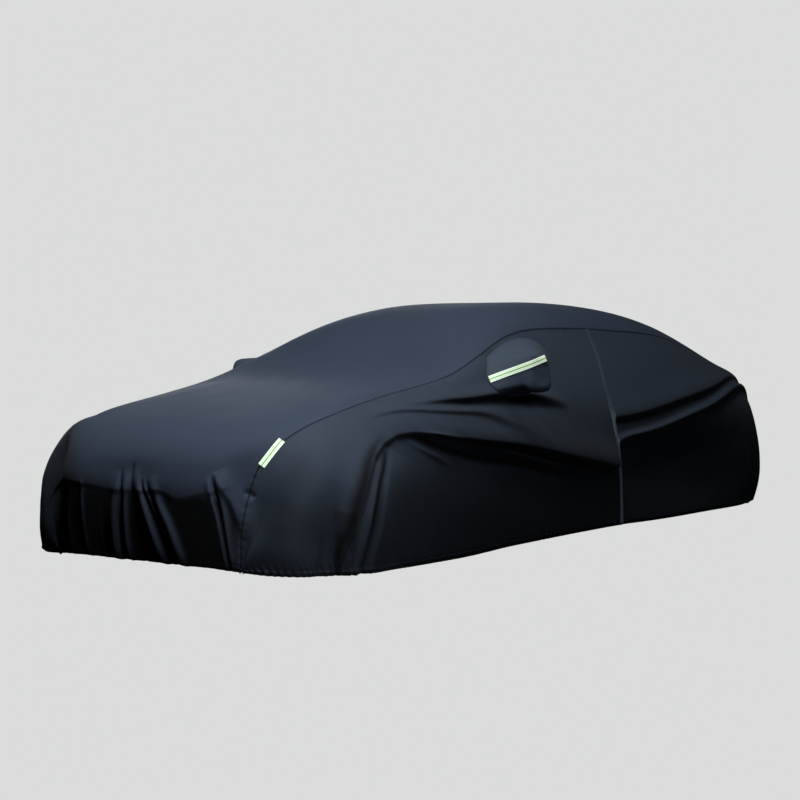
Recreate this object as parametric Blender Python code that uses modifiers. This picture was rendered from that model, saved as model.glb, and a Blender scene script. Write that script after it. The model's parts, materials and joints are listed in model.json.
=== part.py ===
"""Fitted car cover, modelled as it hangs when it is on.

One top panel runs from the nose hem over the roof to the tail hem.  Side panels
run from its two seams down to the elastic hem.  The left side panel is cut in
two at the door zip, whose flap covers the joint, and a pocket is sewn into an
opening in each side.  Reflective strips lie on the left nose corner and pocket.

Units are metres and +Z is up.  The nose points to -Y and the cover's left side
to +X.  The origin is under the middle of the cover, level with its lowest hem.
"""
import math
from collections import namedtuple

import bmesh
import bpy
import numpy as np
from mathutils import Matrix, Vector
from mathutils.bvhtree import BVHTree

# ---------------------------------------------------------------- main sizes
CLOTH = 0.002            # thickness of the padded cloth, hem included
SEAM_GAP = 0.0009        # between two cloths that are sewn edge to edge
TAPE = 0.001             # thickness of a reflective strip
LIFT = 0.00095           # from a cloth to what is sewn flat on it
FLAP_WIDTH = 0.034
FLAP_END_GAP = 0.004     # from the flap's ends to the seam and the hem
STRIP_WIDTH = 0.036

MERGE = 1e-6             # grid corners nearer than this are one
TINY = 1e-9              # stands for zero where something is divided by it

# Steps of the cloth grids, along the cover and across it.
FRONT_STEPS, REAR_STEPS = 32, 24
TOP_STEPS, SIDE_STEPS = 12, 10

# ------------------------------------------------- sections of the whole cloth
# A row is one rib from the middle of the top (y, z) to the seam, shoulder,
# waist and hem of the left side (x, y, z).  The right side mirrors it.
Section = namedtuple("Section", "top seam shoulder waist hem")
SECTIONS = (
    # nose hem, up the nose face and over the nose roll
    Section((-2.360, .045), (.600, -2.300, .032), (.600, -2.300, .032),
            (.600, -2.300, .032), (.600, -2.300, .032)),
    Section((-2.395, .200), (.604, -2.300, .190), (.660, -2.298, .130),
            (.700, -2.290, .075), (.725, -2.275, .024)),
    Section((-2.405, .350), (.618, -2.270, .350), (.740, -2.262, .255),
            (.818, -2.242, .135), (.835, -2.195, .018)),
    Section((-2.380, .490), (.642, -2.220, .500), (.822, -2.205, .375),
            (.880, -2.145, .190), (.887, -2.075, .014)),
    Section((-2.285, .615), (.695, -2.115, .615), (.878, -2.080, .480),
            (.930, -1.975, .240), (.920, -1.900, .008)),
    # front deck
    Section((-1.960, .732), (.728, -1.850, .716), (.890, -1.790, .560),
            (.948, -1.720, .300), (.928, -1.660, .0015)),
    Section((-1.420, .832), (.752, -1.370, .818), (.898, -1.350, .670),
            (.950, -1.320, .380), (.930, -1.300, .0015)),
    Section((-1.000, .905), (.768, -.980, .890), (.892, -.970, .730),
            (.945, -.960, .400), (.930, -.950, .008)),
    # front slope
    Section((-.690, 1.025), (.742, -.700, .980), (.884, -.700, .770),
            (.942, -.700, .410), (.930, -.710, .020)),
    Section((-.400, 1.175), (.700, -.405, 1.076), (.872, -.430, .785),
            (.940, -.440, .415), (.930, -.450, .028)),
    # roof
    Section((-.080, 1.256), (.650, -.125, 1.118), (.866, -.190, .785),
            (.940, -.200, .415), (.928, -.190, .034)),
    Section((.300, 1.281), (.612, .250, 1.131), (.863, .115, .782),
            (.940, .115, .415), (.927, .130, .040)),
    Section((.560, 1.285), (.604, .555, 1.130), (.862, .365, .780),
            (.940, .370, .415), (.926, .420, .043)),
    Section((.980, 1.266), (.604, .940, 1.116), (.862, .800, .782),
            (.940, .800, .415), (.925, .810, .038)),
    # long back slope
    Section((1.380, 1.212), (.606, 1.350, 1.090), (.862, 1.255, .785),
            (.938, 1.235, .415), (.922, 1.220, .040)),
    Section((1.780, 1.110), (.602, 1.740, 1.010), (.850, 1.665, .772),
            (.928, 1.620, .405), (.910, 1.590, .042)),
    Section((2.080, .990), (.594, 2.040, .928), (.830, 1.990, .750),
            (.910, 1.920, .375), (.893, 1.870, .042)),
    # tail roll and tail face, down to the tail hem
    Section((2.290, .850), (.582, 2.250, .808), (.800, 2.180, .655),
            (.882, 2.110, .330), (.855, 2.060, .042)),
    Section((2.393, .660), (.570, 2.350, .610), (.750, 2.300, .480),
            (.842, 2.230, .265), (.805, 2.185, .042)),
    Section((2.413, .430), (.560, 2.376, .410), (.685, 2.353, .310),
            (.770, 2.315, .178), (.738, 2.280, .042)),
    Section((2.408, .210), (.552, 2.370, .210), (.610, 2.358, .155),
            (.660, 2.345, .098), (.665, 2.322, .042)),
    Section((2.394, .042), (.548, 2.352, .042), (.548, 2.352, .042),
            (.548, 2.352, .042), (.548, 2.352, .042)),
)
FLAP_SECTION = 12        # the rib that the door zip and its flap follow

# Between the middle and the seam each rib passes a rail point, this part of the
# way out and with this part of the rise from the seam to the middle.
RAIL_OUT, RAIL_RISE = 0.80, 0.66

# Where the named points lie across the cloth, roughly in metres from its middle.
TOP, RAIL, SEAM, SHOULDER, WAIST, HEM = 0.0, 0.52, 0.70, 1.02, 1.38, 1.78

# ------------------------------------------------------------- folds and dents
# line: the points that the fold runs through; rise: + for a ridge, - for a
# trough; width: how far it fades out to each side.
Fold = namedtuple("Fold", "name line rise width")
FOLDS = (
    # left side: the curtain of folds in front of the arch
    Fold("arch ridge", ((.89, -1.60, .62), (.945, -1.79, .25), (.93, -1.84, .03)), .020, .060),
    Fold("arch trough", ((.90, -1.70, .55), (.94, -1.90, .30), (.92, -1.94, .03)), -.020, .045),
    Fold("outer ridge", ((.90, -1.95, .40), (.90, -2.00, .03)), .014, .050),
    # left side: long pulls from the arch to the door flap
    Fold("upper pull", ((.89, -1.52, .66), (.93, -.78, .58), (.94, .30, .42)), .014, .050),
    Fold("upper groove", ((.90, -1.45, .60), (.935, -.78, .51), (.94, .28, .35)), -.020, .050),
    Fold("lower groove", ((.93, -1.25, .51), (.94, -.40, .38), (.94, .05, .29)), -.012, .045),
    Fold("pocket hollow", ((.88, -1.25, .78), (.88, -.55, .78)), -.012, .070),
    # left side: pulls from the door flap up to the tail corner
    Fold("rear groove", ((.92, .42, .61), (.91, 1.20, .68), (.80, 2.05, .79)), -.018, .045),
    Fold("rear pull", ((.93, .45, .55), (.91, 1.30, .64), (.81, 2.05, .73)), .010, .045),
    Fold("rear hollow", ((.93, .45, .46), (.92, 1.10, .57), (.86, 1.90, .66)), -.014, .060),
    # nose face: short folds that open towards the hem
    Fold("nose fold 1", ((-.32, -2.40, .38), (-.31, -2.37, .05)), -.010, .045),
    Fold("nose fold 2", ((-.07, -2.39, .44), (-.06, -2.37, .05)), -.018, .045),
    Fold("nose ridge 3", ((.05, -2.40, .44), (.19, -2.37, .05)), .012, .045),
    Fold("nose fold 4", ((.14, -2.40, .40), (.34, -2.37, .05)), -.014, .050),
    Fold("nose fold 5", ((.44, -2.38, .43), (.49, -2.35, .05)), -.016, .042),
    Fold("nose fold 6", ((-.50, -2.38, .36), (-.46, -2.36, .05)), -.012, .045),
    # right side: like the left one but not its mirror image
    Fold("far arch ridge", ((-.89, -1.66, .60), (-.945, -1.82, .25), (-.93, -1.86, .03)), .018, .060),
    Fold("far arch trough", ((-.90, -1.78, .50), (-.93, -1.93, .28), (-.91, -1.98, .03)), -.018, .045),
    Fold("far pull", ((-.89, -1.48, .66), (-.93, -.60, .55), (-.94, .80, .40)), .012, .055),
    Fold("far groove", ((-.91, -1.38, .58), (-.935, -.60, .47), (-.94, .70, .32)), -.018, .050),
    Fold("far rear pull", ((-.93, .70, .50), (-.91, 1.40, .62), (-.81, 2.05, .74)), .010, .050),
    Fold("far rear groove", ((-.93, .80, .42), (-.91, 1.45, .55), (-.84, 2.00, .66)), -.016, .055),
    Fold("far deck sag", ((-.78, -1.20, .85), (-.77, -.85, .93)), -.022, .160),
    # tail face
    Fold("tail fold 1", ((-.28, 2.41, .50), (-.24, 2.39, .05)), -.014, .050),
    Fold("tail fold 2", ((.10, 2.41, .45), (.14, 2.39, .05)), -.012, .050),
    Fold("tail fold 3", ((.42, 2.40, .52), (.36, 2.38, .05)), -.014, .050),
)

# -------------------------------------------------------------- mirror pockets
# The pocket is a tent from its sewn rim to a rounded end.  half_length runs
# along the cover, half_height upwards, and tilt turns the rear end up.  square
# shapes the corners: 1 gives an ellipse and less comes nearer to a rectangle.
Ring = namedtuple("Ring", "x y z half_length half_height tilt square")
POCKET_RIM = Ring(.860, -.405, .932, .365, .125, math.radians(14), 1.0)
POCKET_EDGE = Ring(1.030, -.552, .896, .082, .102, math.radians(4), .70)
POCKET_FACE = Ring(1.052, -.552, .896, .056, .074, 0.0, .75)
POCKET_END = Ring(1.058, -.552, .896, 0.0, 0.0, 0.0, 1.0)
POCKET_SIDES = 20        # corners of each ring
TENT_STEPS = 3           # rings from the rim to the end's edge
RIGHT_DROP = 0.040       # the right pocket hangs this much lower than the left
OPENING_REACH = 0.40     # how far the opening's cutter reaches to each side of the rim

# ----------------------------------------------------------- reflective strips
# A strip is cut from the cloth's own facets: it runs from start to end (x, y, z
# of its middle line).  The cut reaches from below that line to
# above it, along look.
Strip = namedtuple("Strip", "start end look below above")
CORNER_STRIP = Strip((.650, -2.214, .508), (.690, -2.122, .622), (.60, -.75, .35), 0.03, 0.03)
POCKET_STRIP = Strip((.852, -.724, .8755), (1.048, -.520, .979), (.618, -.786, .0), 0.03, 0.12)
CORNER_REACH = 3         # grid lines on each side of the corner strip's middle

# -------------------------------------------------------------------- finishes
Finish = namedtuple("Finish", "colour roughness")
FINISHES = {
    "top_cloth": Finish((.052, .068, .098, 1.0), .62),
    "left_side_cloth": Finish((.030, .038, .052, 1.0), .60),
    "right_side_cloth": Finish((.030, .038, .052, 1.0), .60),
    "flap_cloth": Finish((.040, .050, .066, 1.0), .65),
    "pocket_cloth": Finish((.036, .045, .062, 1.0), .60),
    "reflective_tape": Finish((.70, .88, .62, 1.0), .35),
}


# ------------------------------------------------------------------ the surface
def spline(knots, values, at):
    """Natural cubic spline through values at knots, read at each of at."""
    knots, values, at = (np.asarray(item, float) for item in (knots, values, at))
    count, gap = len(knots), np.diff(knots)
    matrix, bends = np.zeros((count, count)), np.zeros_like(values)
    matrix[0, 0] = matrix[-1, -1] = 1.0
    for i in range(1, count - 1):
        matrix[i, i - 1:i + 2] = gap[i - 1], 2 * (gap[i - 1] + gap[i]), gap[i]
        slope_after = (values[i + 1] - values[i]) / gap[i]
        slope_before = (values[i] - values[i - 1]) / gap[i - 1]
        bends[i] = 6 * (slope_after - slope_before)
    second = np.linalg.solve(matrix, bends.reshape(count, -1)).reshape(bends.shape)
    left = np.clip(np.searchsorted(knots, at, side="right") - 1, 0, count - 2)
    shape = (-1,) + (1,) * (values.ndim - 1)
    span = gap[left].reshape(shape)
    a = ((knots[left + 1] - at) / gap[left]).reshape(shape)
    b = ((at - knots[left]) / gap[left]).reshape(shape)
    curve = (a ** 3 - a) * second[left] + (b ** 3 - b) * second[left + 1]
    return a * values[left] + b * values[left + 1] + curve * span ** 2 / 6


def section_points():
    """The six named points of every section's left half, as (section, point, xyz)."""
    rows = []
    for section in SECTIONS:
        top, seam = np.array((0.0, *section.top)), np.array(section.seam)
        rail = seam + (top - seam) * RAIL_RISE
        rail[0] = seam[0] * RAIL_OUT
        rows.append((top, rail, seam, section.shoulder, section.waist, section.hem))
    return np.array(rows, float)


POINTS = section_points()
SEAM_LINE = POINTS[:, 2]
ALONG = np.append(0.0, np.cumsum(np.linalg.norm(np.diff(SEAM_LINE, axis=0), axis=1)))
ACROSS = np.array((TOP, RAIL, SEAM, SHOULDER, WAIST, HEM))


def smooth_surface(along, across):
    """Points of the taut cloth, for each place along and each place across."""
    left = spline(ALONG, POINTS, along)
    right = left[:, :0:-1] * (-1.0, 1.0, 1.0)
    whole = np.concatenate((right, left), axis=1)
    knots = np.concatenate((-ACROSS[:0:-1], ACROSS))
    return spline(knots, whole.transpose(1, 0, 2), across).transpose(1, 0, 2)


def unit(vectors):
    """Vectors of length one; a zero vector stays zero."""
    return vectors / np.maximum(np.linalg.norm(vectors, axis=-1, keepdims=True), TINY)


def outward(points):
    """Outward normals of a grid of points, from its neighbours on each side."""
    to_left = np.gradient(points, axis=1)
    to_tail = np.gradient(points, axis=0)
    return unit(np.cross(to_left, to_tail))


def distance_to_line(points, line):
    """Distance from each point to a line of straight runs."""
    nearest = np.full(points.shape[:-1], np.inf)
    for start, end in zip(np.array(line[:-1], float), np.array(line[1:], float)):
        run = end - start
        part = np.clip((points - start) @ run / (run @ run), 0.0, 1.0)
        away = np.linalg.norm(points - (start + part[..., None] * run), axis=-1)
        nearest = np.minimum(nearest, away)
    return nearest


def folded(points, normals):
    """Push the taut cloth out at its ridges and in at its troughs."""
    height = np.zeros(points.shape[:-1])
    for fold in FOLDS:
        height += fold.rise * np.exp(-(distance_to_line(points, fold.line) / fold.width) ** 2)
    return points + normals * height[..., None]


# The whole cloth as one grid, which every panel takes its share of.  Its lines
# along the cover pass the middle and both edges of the door flap.
FLAP_ALONG = ALONG[FLAP_SECTION]
ALONG_LINES = np.concatenate((
    np.linspace(0.0, FLAP_ALONG - FLAP_WIDTH / 2, FRONT_STEPS + 1), (FLAP_ALONG,),
    np.linspace(FLAP_ALONG + FLAP_WIDTH / 2, ALONG[-1], REAR_STEPS + 1)))
FLAP_LINE = FRONT_STEPS + 1
SIDE_LINES = np.linspace(SEAM, HEM, SIDE_STEPS + 1)
ACROSS_LINES = np.concatenate((-SIDE_LINES[:0:-1],
                               np.linspace(-SEAM, SEAM, TOP_STEPS + 1),
                               SIDE_LINES[1:]))
RIGHT_SEAM, LEFT_SEAM = SIDE_STEPS, SIDE_STEPS + TOP_STEPS
TAUT_GRID = smooth_surface(ALONG_LINES, ACROSS_LINES)
CLOTH_GRID = folded(TAUT_GRID, outward(TAUT_GRID))
NORMALS = outward(CLOTH_GRID)


# ----------------------------------------------------------------- mesh helpers
def material(name):
    """A plain Principled material with the finish of that name."""
    finish = FINISHES[name]
    made = bpy.data.materials.new(name)
    made.use_nodes = True
    shader = made.node_tree.nodes["Principled BSDF"]
    shader.inputs["Base Color"].default_value = finish.colour
    shader.inputs["Roughness"].default_value = finish.roughness
    shader.inputs["Metallic"].default_value = 0.0
    made.diffuse_color = finish.colour
    return made


def collection(name):
    """A new collection in the scene."""
    made = bpy.data.collections.new(name)
    bpy.context.scene.collection.children.link(made)
    return made


def grid_mesh(name, points, closed=False):
    """A grid of quads on points[row, column]; closed joins first and last column."""
    rows, columns = points.shape[:2]
    bm = bmesh.new()
    bmesh.ops.create_grid(bm, x_segments=columns - 1, y_segments=rows - 1, size=1.0)
    for vertex in bm.verts:        # its x and y run from -1 to 1
        column = round((vertex.co.x + 1.0) / 2.0 * (columns - 1))
        row = round((vertex.co.y + 1.0) / 2.0 * (rows - 1))
        vertex.co = points[row, column]
    bmesh.ops.remove_doubles(bm, verts=bm.verts, dist=MERGE)
    if closed:
        bmesh.ops.recalc_face_normals(bm, faces=bm.faces)
    mesh = bpy.data.meshes.new(name)
    bm.to_mesh(mesh)
    bm.free()
    mesh.shade_smooth()
    return mesh


def add_sheet(name, points, thickness, side, finish, home, closed=False):
    """A cloth on a grid of points, thickened outwards (side 1) or inwards (-1)."""
    anchor = points.reshape(-1, 3).mean(axis=0)
    mesh = grid_mesh(name, points - anchor, closed)
    sheet = bpy.data.objects.new(name, mesh)
    sheet.location = anchor
    mesh.materials.append(finish)
    home.objects.link(sheet)
    thicken = sheet.modifiers.new("Thickness", "SOLIDIFY")
    thicken.thickness = thickness
    thicken.offset = side
    return sheet


def inset(points, gap, rows=(), columns=()):
    """Draw the named edges (0 or -1) of a grid inwards by gap, along the cloth."""
    moved = points.copy()
    for edge in rows:
        towards = unit(points[1 if edge == 0 else -2] - points[edge])
        moved[edge] += towards * gap
    for edge in columns:
        towards = unit(points[:, 1 if edge == 0 else -2] - points[:, edge])
        moved[:, edge] += towards * gap
    return moved


def pointed(points, row):
    """Bring a grid's end row (0 or -1) to one point, just clear of its seam."""
    moved = points.copy()
    neighbour = points[1 if row == 0 else -2].mean(axis=0)
    tip = points[row].mean(axis=0)
    moved[row] = tip + unit(neighbour - tip) * 2 * SEAM_GAP
    return moved


def quads(rows, columns):
    """Corner numbers of a grid's quads."""
    return [(r * columns + c, r * columns + c + 1, (r + 1) * columns + c + 1, (r + 1) * columns + c)
            for r in range(rows - 1) for c in range(columns - 1)]


def tree_of(points):
    """Search tree over a grid of points."""
    rows, columns = points.shape[:2]
    corners = [Vector(point) for point in points.reshape(-1, 3)]
    return BVHTree.FromPolygons(corners, quads(rows, columns))


# ----------------------------------------------------------------------- panels
def add_top_panel(home):
    """The cloth between the two long seams, from nose hem to tail hem."""
    points = CLOTH_GRID[:, RIGHT_SEAM:LEFT_SEAM + 1]
    add_sheet("top_panel", points, CLOTH, 1, material("top_cloth"), home)


def add_left_panels(home):
    """The left side in two cloths, which meet under the door flap."""
    side = inset(pointed(pointed(CLOTH_GRID[:, LEFT_SEAM:], 0), -1), SEAM_GAP, columns=(0,))
    front = inset(side[:FLAP_LINE + 1], SEAM_GAP / 2, rows=(-1,))
    rear = inset(side[FLAP_LINE:], SEAM_GAP / 2, rows=(0,))
    finish = material("left_side_cloth")
    panel = add_sheet("side_left_front", front, CLOTH, 1, finish, home)
    add_sheet("side_left_rear", rear, CLOTH, 1, finish, home)
    return panel


def add_right_panel(home):
    """The right side in one cloth."""
    side = inset(pointed(pointed(CLOTH_GRID[:, :RIGHT_SEAM + 1], 0), -1), SEAM_GAP, columns=(-1,))
    return add_sheet("side_right", side, CLOTH, 1, material("right_side_cloth"), home)


def add_door_flap(home):
    """A narrow band down the left side, over the joint of the two side cloths."""
    outer = CLOTH_GRID + NORMALS * (CLOTH + LIFT)
    points = inset(outer[FLAP_LINE - 1:FLAP_LINE + 2, LEFT_SEAM:], FLAP_END_GAP, columns=(0, -1))
    add_sheet("door_flap", points, CLOTH, 1, material("flap_cloth"), home)


# ---------------------------------------------------------------------- pockets
def on_side(points, side):
    """Points of the left side (side 1), or their mirror images on the right (-1)."""
    return np.array(points) * (side, 1.0, 1.0)


def on_pocket(points, side):
    """The same for points of the pocket, which hangs lower on the right."""
    return on_side(points, side) - (0.0, 0.0, 0.0 if side > 0 else RIGHT_DROP)


def ring_points(ring, side, grow=0.0):
    """Corners of a ring, which stands parallel to the cover's side."""
    turns = (np.arange(POCKET_SIDES) + 0.5) * 2 * math.pi / POCKET_SIDES
    across, up = (np.sign(part) * np.abs(part) ** ring.square
                  for part in (np.cos(turns), np.sin(turns)))
    length, height = (ring.half_length + grow) * across, (ring.half_height + grow) * up
    y = ring.y + length * math.cos(ring.tilt) - height * math.sin(ring.tilt)
    z = ring.z + length * math.sin(ring.tilt) + height * math.cos(ring.tilt)
    return on_pocket(np.stack((np.full_like(y, ring.x), y, z), axis=1), side)


def pocket_points(panel_tree, side):
    """Rings from the rim, which lies on the side panel, to the rounded end."""
    rim = ring_points(POCKET_RIM, side)
    for corner in rim:
        outside = Vector(corner + (side * OPENING_REACH, 0.0, 0.0))
        corner[0] = panel_tree.ray_cast(outside, Vector((-side, 0.0, 0.0)))[0].x
    edge = ring_points(POCKET_EDGE, side)
    tent = [rim + (edge - rim) * step / TENT_STEPS for step in range(TENT_STEPS + 1)]
    rings = np.array(tent + [ring_points(ring, side) for ring in (POCKET_FACE, POCKET_END)])
    return np.concatenate((rings, rings[:, :1]), axis=1)


def cut_opening(panel, side, cutters):
    """Open the side panel where the pocket is sewn in."""
    rim = ring_points(POCKET_RIM, side, grow=SEAM_GAP)
    bm = bmesh.new()
    near = bm.faces.new([bm.verts.new(corner - (side * OPENING_REACH, 0.0, 0.0)) for corner in rim])
    deep = bmesh.ops.extrude_face_region(bm, geom=[near])["geom"]
    far = [item for item in deep if isinstance(item, bmesh.types.BMVert)]
    bmesh.ops.translate(bm, verts=far, vec=(2 * side * OPENING_REACH, 0.0, 0.0))
    bmesh.ops.recalc_face_normals(bm, faces=bm.faces)
    mesh = bpy.data.meshes.new(panel.name + "_opening")
    bm.to_mesh(mesh)
    bm.free()
    cutter = bpy.data.objects.new(mesh.name, mesh)
    cutter.hide_render = True
    cutter.display_type = "WIRE"
    cutters.objects.link(cutter)
    opening = panel.modifiers.new("Pocket opening", "BOOLEAN")
    opening.operation = "DIFFERENCE"
    opening.solver = "EXACT"
    opening.object = cutter


def add_pocket(name, panel, side, finish, home, cutters):
    """A pocket and the opening that it is sewn into; returns its grid of points."""
    columns = slice(LEFT_SEAM, None) if side > 0 else slice(None, RIGHT_SEAM + 1)
    outer = (CLOTH_GRID + NORMALS * CLOTH)[:, columns]
    points = pocket_points(tree_of(outer), side)
    cut_opening(panel, side, cutters)
    add_sheet(name, points, CLOTH, -1, finish, home, closed=True)
    return points


# ----------------------------------------------------------------------- strips
def strip_cutter(name, strip, cutters):
    """A box that holds the strip's length and width, and a little depth."""
    start, end, look = np.array(strip.start), np.array(strip.end), unit(np.array(strip.look))
    along = unit(end - start)
    sideways = unit(np.cross(look, along))
    deep = np.cross(along, sideways)
    middle = (start + end) / 2 + look * (strip.above - strip.below) / 2
    turn = Matrix(np.stack((along, sideways, deep), axis=1).tolist()).to_4x4()
    size = (np.linalg.norm(end - start), STRIP_WIDTH, strip.below + strip.above)
    bm = bmesh.new()
    bmesh.ops.create_cube(bm, size=1.0, matrix=Matrix.Diagonal((*size, 1.0)))
    mesh = bpy.data.meshes.new(name + "_outline")
    bm.to_mesh(mesh)
    bm.free()
    cutter = bpy.data.objects.new(mesh.name, mesh)
    cutter.matrix_world = Matrix.Translation(middle) @ turn
    cutter.hide_render = True
    cutter.display_type = "WIRE"
    cutters.objects.link(cutter)
    return cutter


def add_strip(name, strip, carrier, closed, finish, home, cutters):
    """Tape that lies on a carrier's grid of outer points, cut to the strip's size."""
    tape = add_sheet(name, carrier, TAPE, 1, finish, home, closed)
    for vertex, normal in zip(tape.data.vertices, [v.normal.copy() for v in tape.data.vertices]):
        vertex.co += normal * LIFT
    outline = tape.modifiers.new("Outline", "BOOLEAN")
    outline.operation = "INTERSECT"
    outline.solver = "EXACT"
    outline.object = strip_cutter(name, strip, cutters)


def corner_carrier():
    """The cloth's outer points around the left nose corner, over both of its pieces."""
    outer = CLOTH_GRID + NORMALS * CLOTH
    middle = (np.array(CORNER_STRIP.start) + CORNER_STRIP.end) / 2
    row = np.linalg.norm(outer[:, LEFT_SEAM] - middle, axis=1).argmin()
    rows = slice(row - CORNER_REACH, row + CORNER_REACH + 1)
    return outer[rows, LEFT_SEAM - CORNER_REACH:LEFT_SEAM + CORNER_REACH + 1]


def main():
    """Clear the scene and make every piece of the cover."""
    for item in list(bpy.data.objects):
        bpy.data.objects.remove(item, do_unlink=True)
    home, cutters = collection("car_cover"), collection("cutters")

    add_top_panel(home)
    left_panel = add_left_panels(home)
    right_panel = add_right_panel(home)
    add_door_flap(home)

    pocket_cloth, tape = material("pocket_cloth"), material("reflective_tape")
    pocket = add_pocket("mirror_pocket_left", left_panel, 1, pocket_cloth, home, cutters)
    add_pocket("mirror_pocket_right", right_panel, -1, pocket_cloth, home, cutters)
    add_strip("corner_strip_left", CORNER_STRIP, corner_carrier(), False, tape, home, cutters)
    add_strip("pocket_strip_left", POCKET_STRIP, pocket, True, tape, home, cutters)


main()
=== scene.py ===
"""Fitted car cover as it hangs when it is on: its cloth, seams, folds and finish.

The cover is one cloth lattice.  Along runs from the nose hem over the roof to the
tail hem, in metres measured on the long seam.  Across counts from 0 at the middle to
0.70 at each seam and 1.78 at each hem, whatever the true width there, and is below 0
on the right side.  Panels are shares of the lattice, and the creases lie on it.

Units are metres and +Z is up.  The nose points to -Y and the left side to +X.
"""

import json
import math
from collections import namedtuple
from functools import lru_cache, reduce

import bmesh
import bpy
import numpy as np
from mathutils import Matrix, Vector
from mathutils.bvhtree import BVHTree

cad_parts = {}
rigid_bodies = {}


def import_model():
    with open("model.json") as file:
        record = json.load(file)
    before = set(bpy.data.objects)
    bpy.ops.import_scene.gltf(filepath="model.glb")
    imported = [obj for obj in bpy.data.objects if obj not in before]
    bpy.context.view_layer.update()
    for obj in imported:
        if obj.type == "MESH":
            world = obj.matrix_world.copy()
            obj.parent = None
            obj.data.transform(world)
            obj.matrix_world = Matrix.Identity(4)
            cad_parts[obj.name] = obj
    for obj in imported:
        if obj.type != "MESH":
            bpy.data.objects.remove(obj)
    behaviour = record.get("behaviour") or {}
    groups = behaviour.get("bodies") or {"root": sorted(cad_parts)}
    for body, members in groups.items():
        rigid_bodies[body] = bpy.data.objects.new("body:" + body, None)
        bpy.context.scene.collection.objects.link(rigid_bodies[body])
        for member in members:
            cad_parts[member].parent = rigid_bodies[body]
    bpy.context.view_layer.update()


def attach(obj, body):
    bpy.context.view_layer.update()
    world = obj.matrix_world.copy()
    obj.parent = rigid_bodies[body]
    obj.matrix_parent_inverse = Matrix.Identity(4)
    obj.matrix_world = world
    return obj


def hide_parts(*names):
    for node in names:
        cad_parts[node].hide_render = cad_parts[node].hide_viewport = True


bl_info = {
    "name": "Car cover",
    "version": (1, 0, 0),
    "blender": (4, 5, 0),
    "location": "3D View > Sidebar > Car cover",
    "description": "Builds a fitted car cover with its folds, seams and strips",
    "category": "Object",
}

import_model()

# ---------------------------------------------------------------- the taut cloth
# A row is one rib from the middle of the top (y, z) to the seam, shoulder,
# waist and hem of the left side (x, y, z).  The right side mirrors it.
Section = namedtuple("Section", "top seam shoulder waist hem")
SECTIONS = (
    # nose hem, up the nose face and over the nose roll
    Section((-2.360, .045), (.600, -2.300, .032), (.600, -2.300, .032),
            (.600, -2.300, .032), (.600, -2.300, .032)),
    Section((-2.395, .200), (.604, -2.300, .190), (.660, -2.298, .130),
            (.700, -2.290, .075), (.725, -2.275, .024)),
    Section((-2.405, .350), (.618, -2.270, .350), (.740, -2.262, .255),
            (.818, -2.242, .135), (.835, -2.195, .018)),
    Section((-2.380, .490), (.642, -2.220, .500), (.822, -2.205, .375),
            (.880, -2.145, .190), (.887, -2.075, .014)),
    Section((-2.285, .615), (.695, -2.115, .615), (.878, -2.080, .480),
            (.930, -1.975, .240), (.920, -1.900, .008)),
    # front deck
    Section((-1.960, .732), (.728, -1.850, .716), (.890, -1.790, .560),
            (.948, -1.720, .300), (.928, -1.660, .0015)),
    Section((-1.420, .832), (.752, -1.370, .818), (.898, -1.350, .670),
            (.950, -1.320, .380), (.930, -1.300, .0015)),
    Section((-1.000, .905), (.768, -.980, .890), (.892, -.970, .730),
            (.945, -.960, .400), (.930, -.950, .008)),
    # front slope
    Section((-.690, 1.025), (.742, -.700, .980), (.884, -.700, .770),
            (.942, -.700, .410), (.930, -.710, .020)),
    Section((-.400, 1.175), (.700, -.405, 1.076), (.872, -.430, .785),
            (.940, -.440, .415), (.930, -.450, .028)),
    # roof
    Section((-.080, 1.256), (.650, -.125, 1.118), (.866, -.190, .785),
            (.940, -.200, .415), (.928, -.190, .034)),
    Section((.300, 1.281), (.612, .250, 1.131), (.863, .115, .782),
            (.940, .115, .415), (.927, .130, .040)),
    Section((.560, 1.285), (.604, .555, 1.130), (.862, .365, .780),
            (.940, .370, .415), (.926, .420, .043)),
    Section((.980, 1.266), (.604, .940, 1.116), (.862, .800, .782),
            (.940, .800, .415), (.925, .810, .038)),
    # long back slope
    Section((1.380, 1.212), (.606, 1.350, 1.090), (.862, 1.255, .785),
            (.938, 1.235, .415), (.922, 1.220, .040)),
    Section((1.780, 1.110), (.602, 1.740, 1.010), (.850, 1.665, .772),
            (.928, 1.620, .405), (.910, 1.590, .042)),
    Section((2.080, .990), (.594, 2.040, .928), (.830, 1.990, .750),
            (.910, 1.920, .375), (.893, 1.870, .042)),
    # tail roll and tail face, down to the tail hem
    Section((2.290, .850), (.582, 2.250, .808), (.800, 2.180, .655),
            (.882, 2.110, .330), (.855, 2.060, .042)),
    Section((2.393, .660), (.570, 2.350, .610), (.750, 2.300, .480),
            (.842, 2.230, .265), (.805, 2.185, .042)),
    Section((2.413, .430), (.560, 2.376, .410), (.685, 2.353, .310),
            (.770, 2.315, .178), (.738, 2.280, .042)),
    Section((2.408, .210), (.552, 2.370, .210), (.610, 2.358, .155),
            (.660, 2.345, .098), (.665, 2.322, .042)),
    Section((2.394, .042), (.548, 2.352, .042), (.548, 2.352, .042),
            (.548, 2.352, .042), (.548, 2.352, .042)),
)
FLAP_SECTION = 12        # the rib that the door zip and its flap follow
RAIL_OUT, RAIL_RISE = 0.80, 0.66
TOP, RAIL, SEAM, SHOULDER, WAIST, HEM = 0.0, 0.52, 0.70, 1.02, 1.38, 1.78
TINY = 1e-9

CLOTH = 0.002            # how far the cloth's outer face stands off the taut cloth
FLAP_HALF = 0.017
FLAP_END_GAP = 0.006
STRIP_HALF = 0.018

# ------------------------------------------------------------------------ creases
# Each row is one place on a crease: along and across in metres, its rise in
# millimetres (minus for a trough), and how far it fades to its left and to its
# right, seen from outside and walking down the rows, in millimetres.
Crease = namedtuple("Crease", "name rows")


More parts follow.
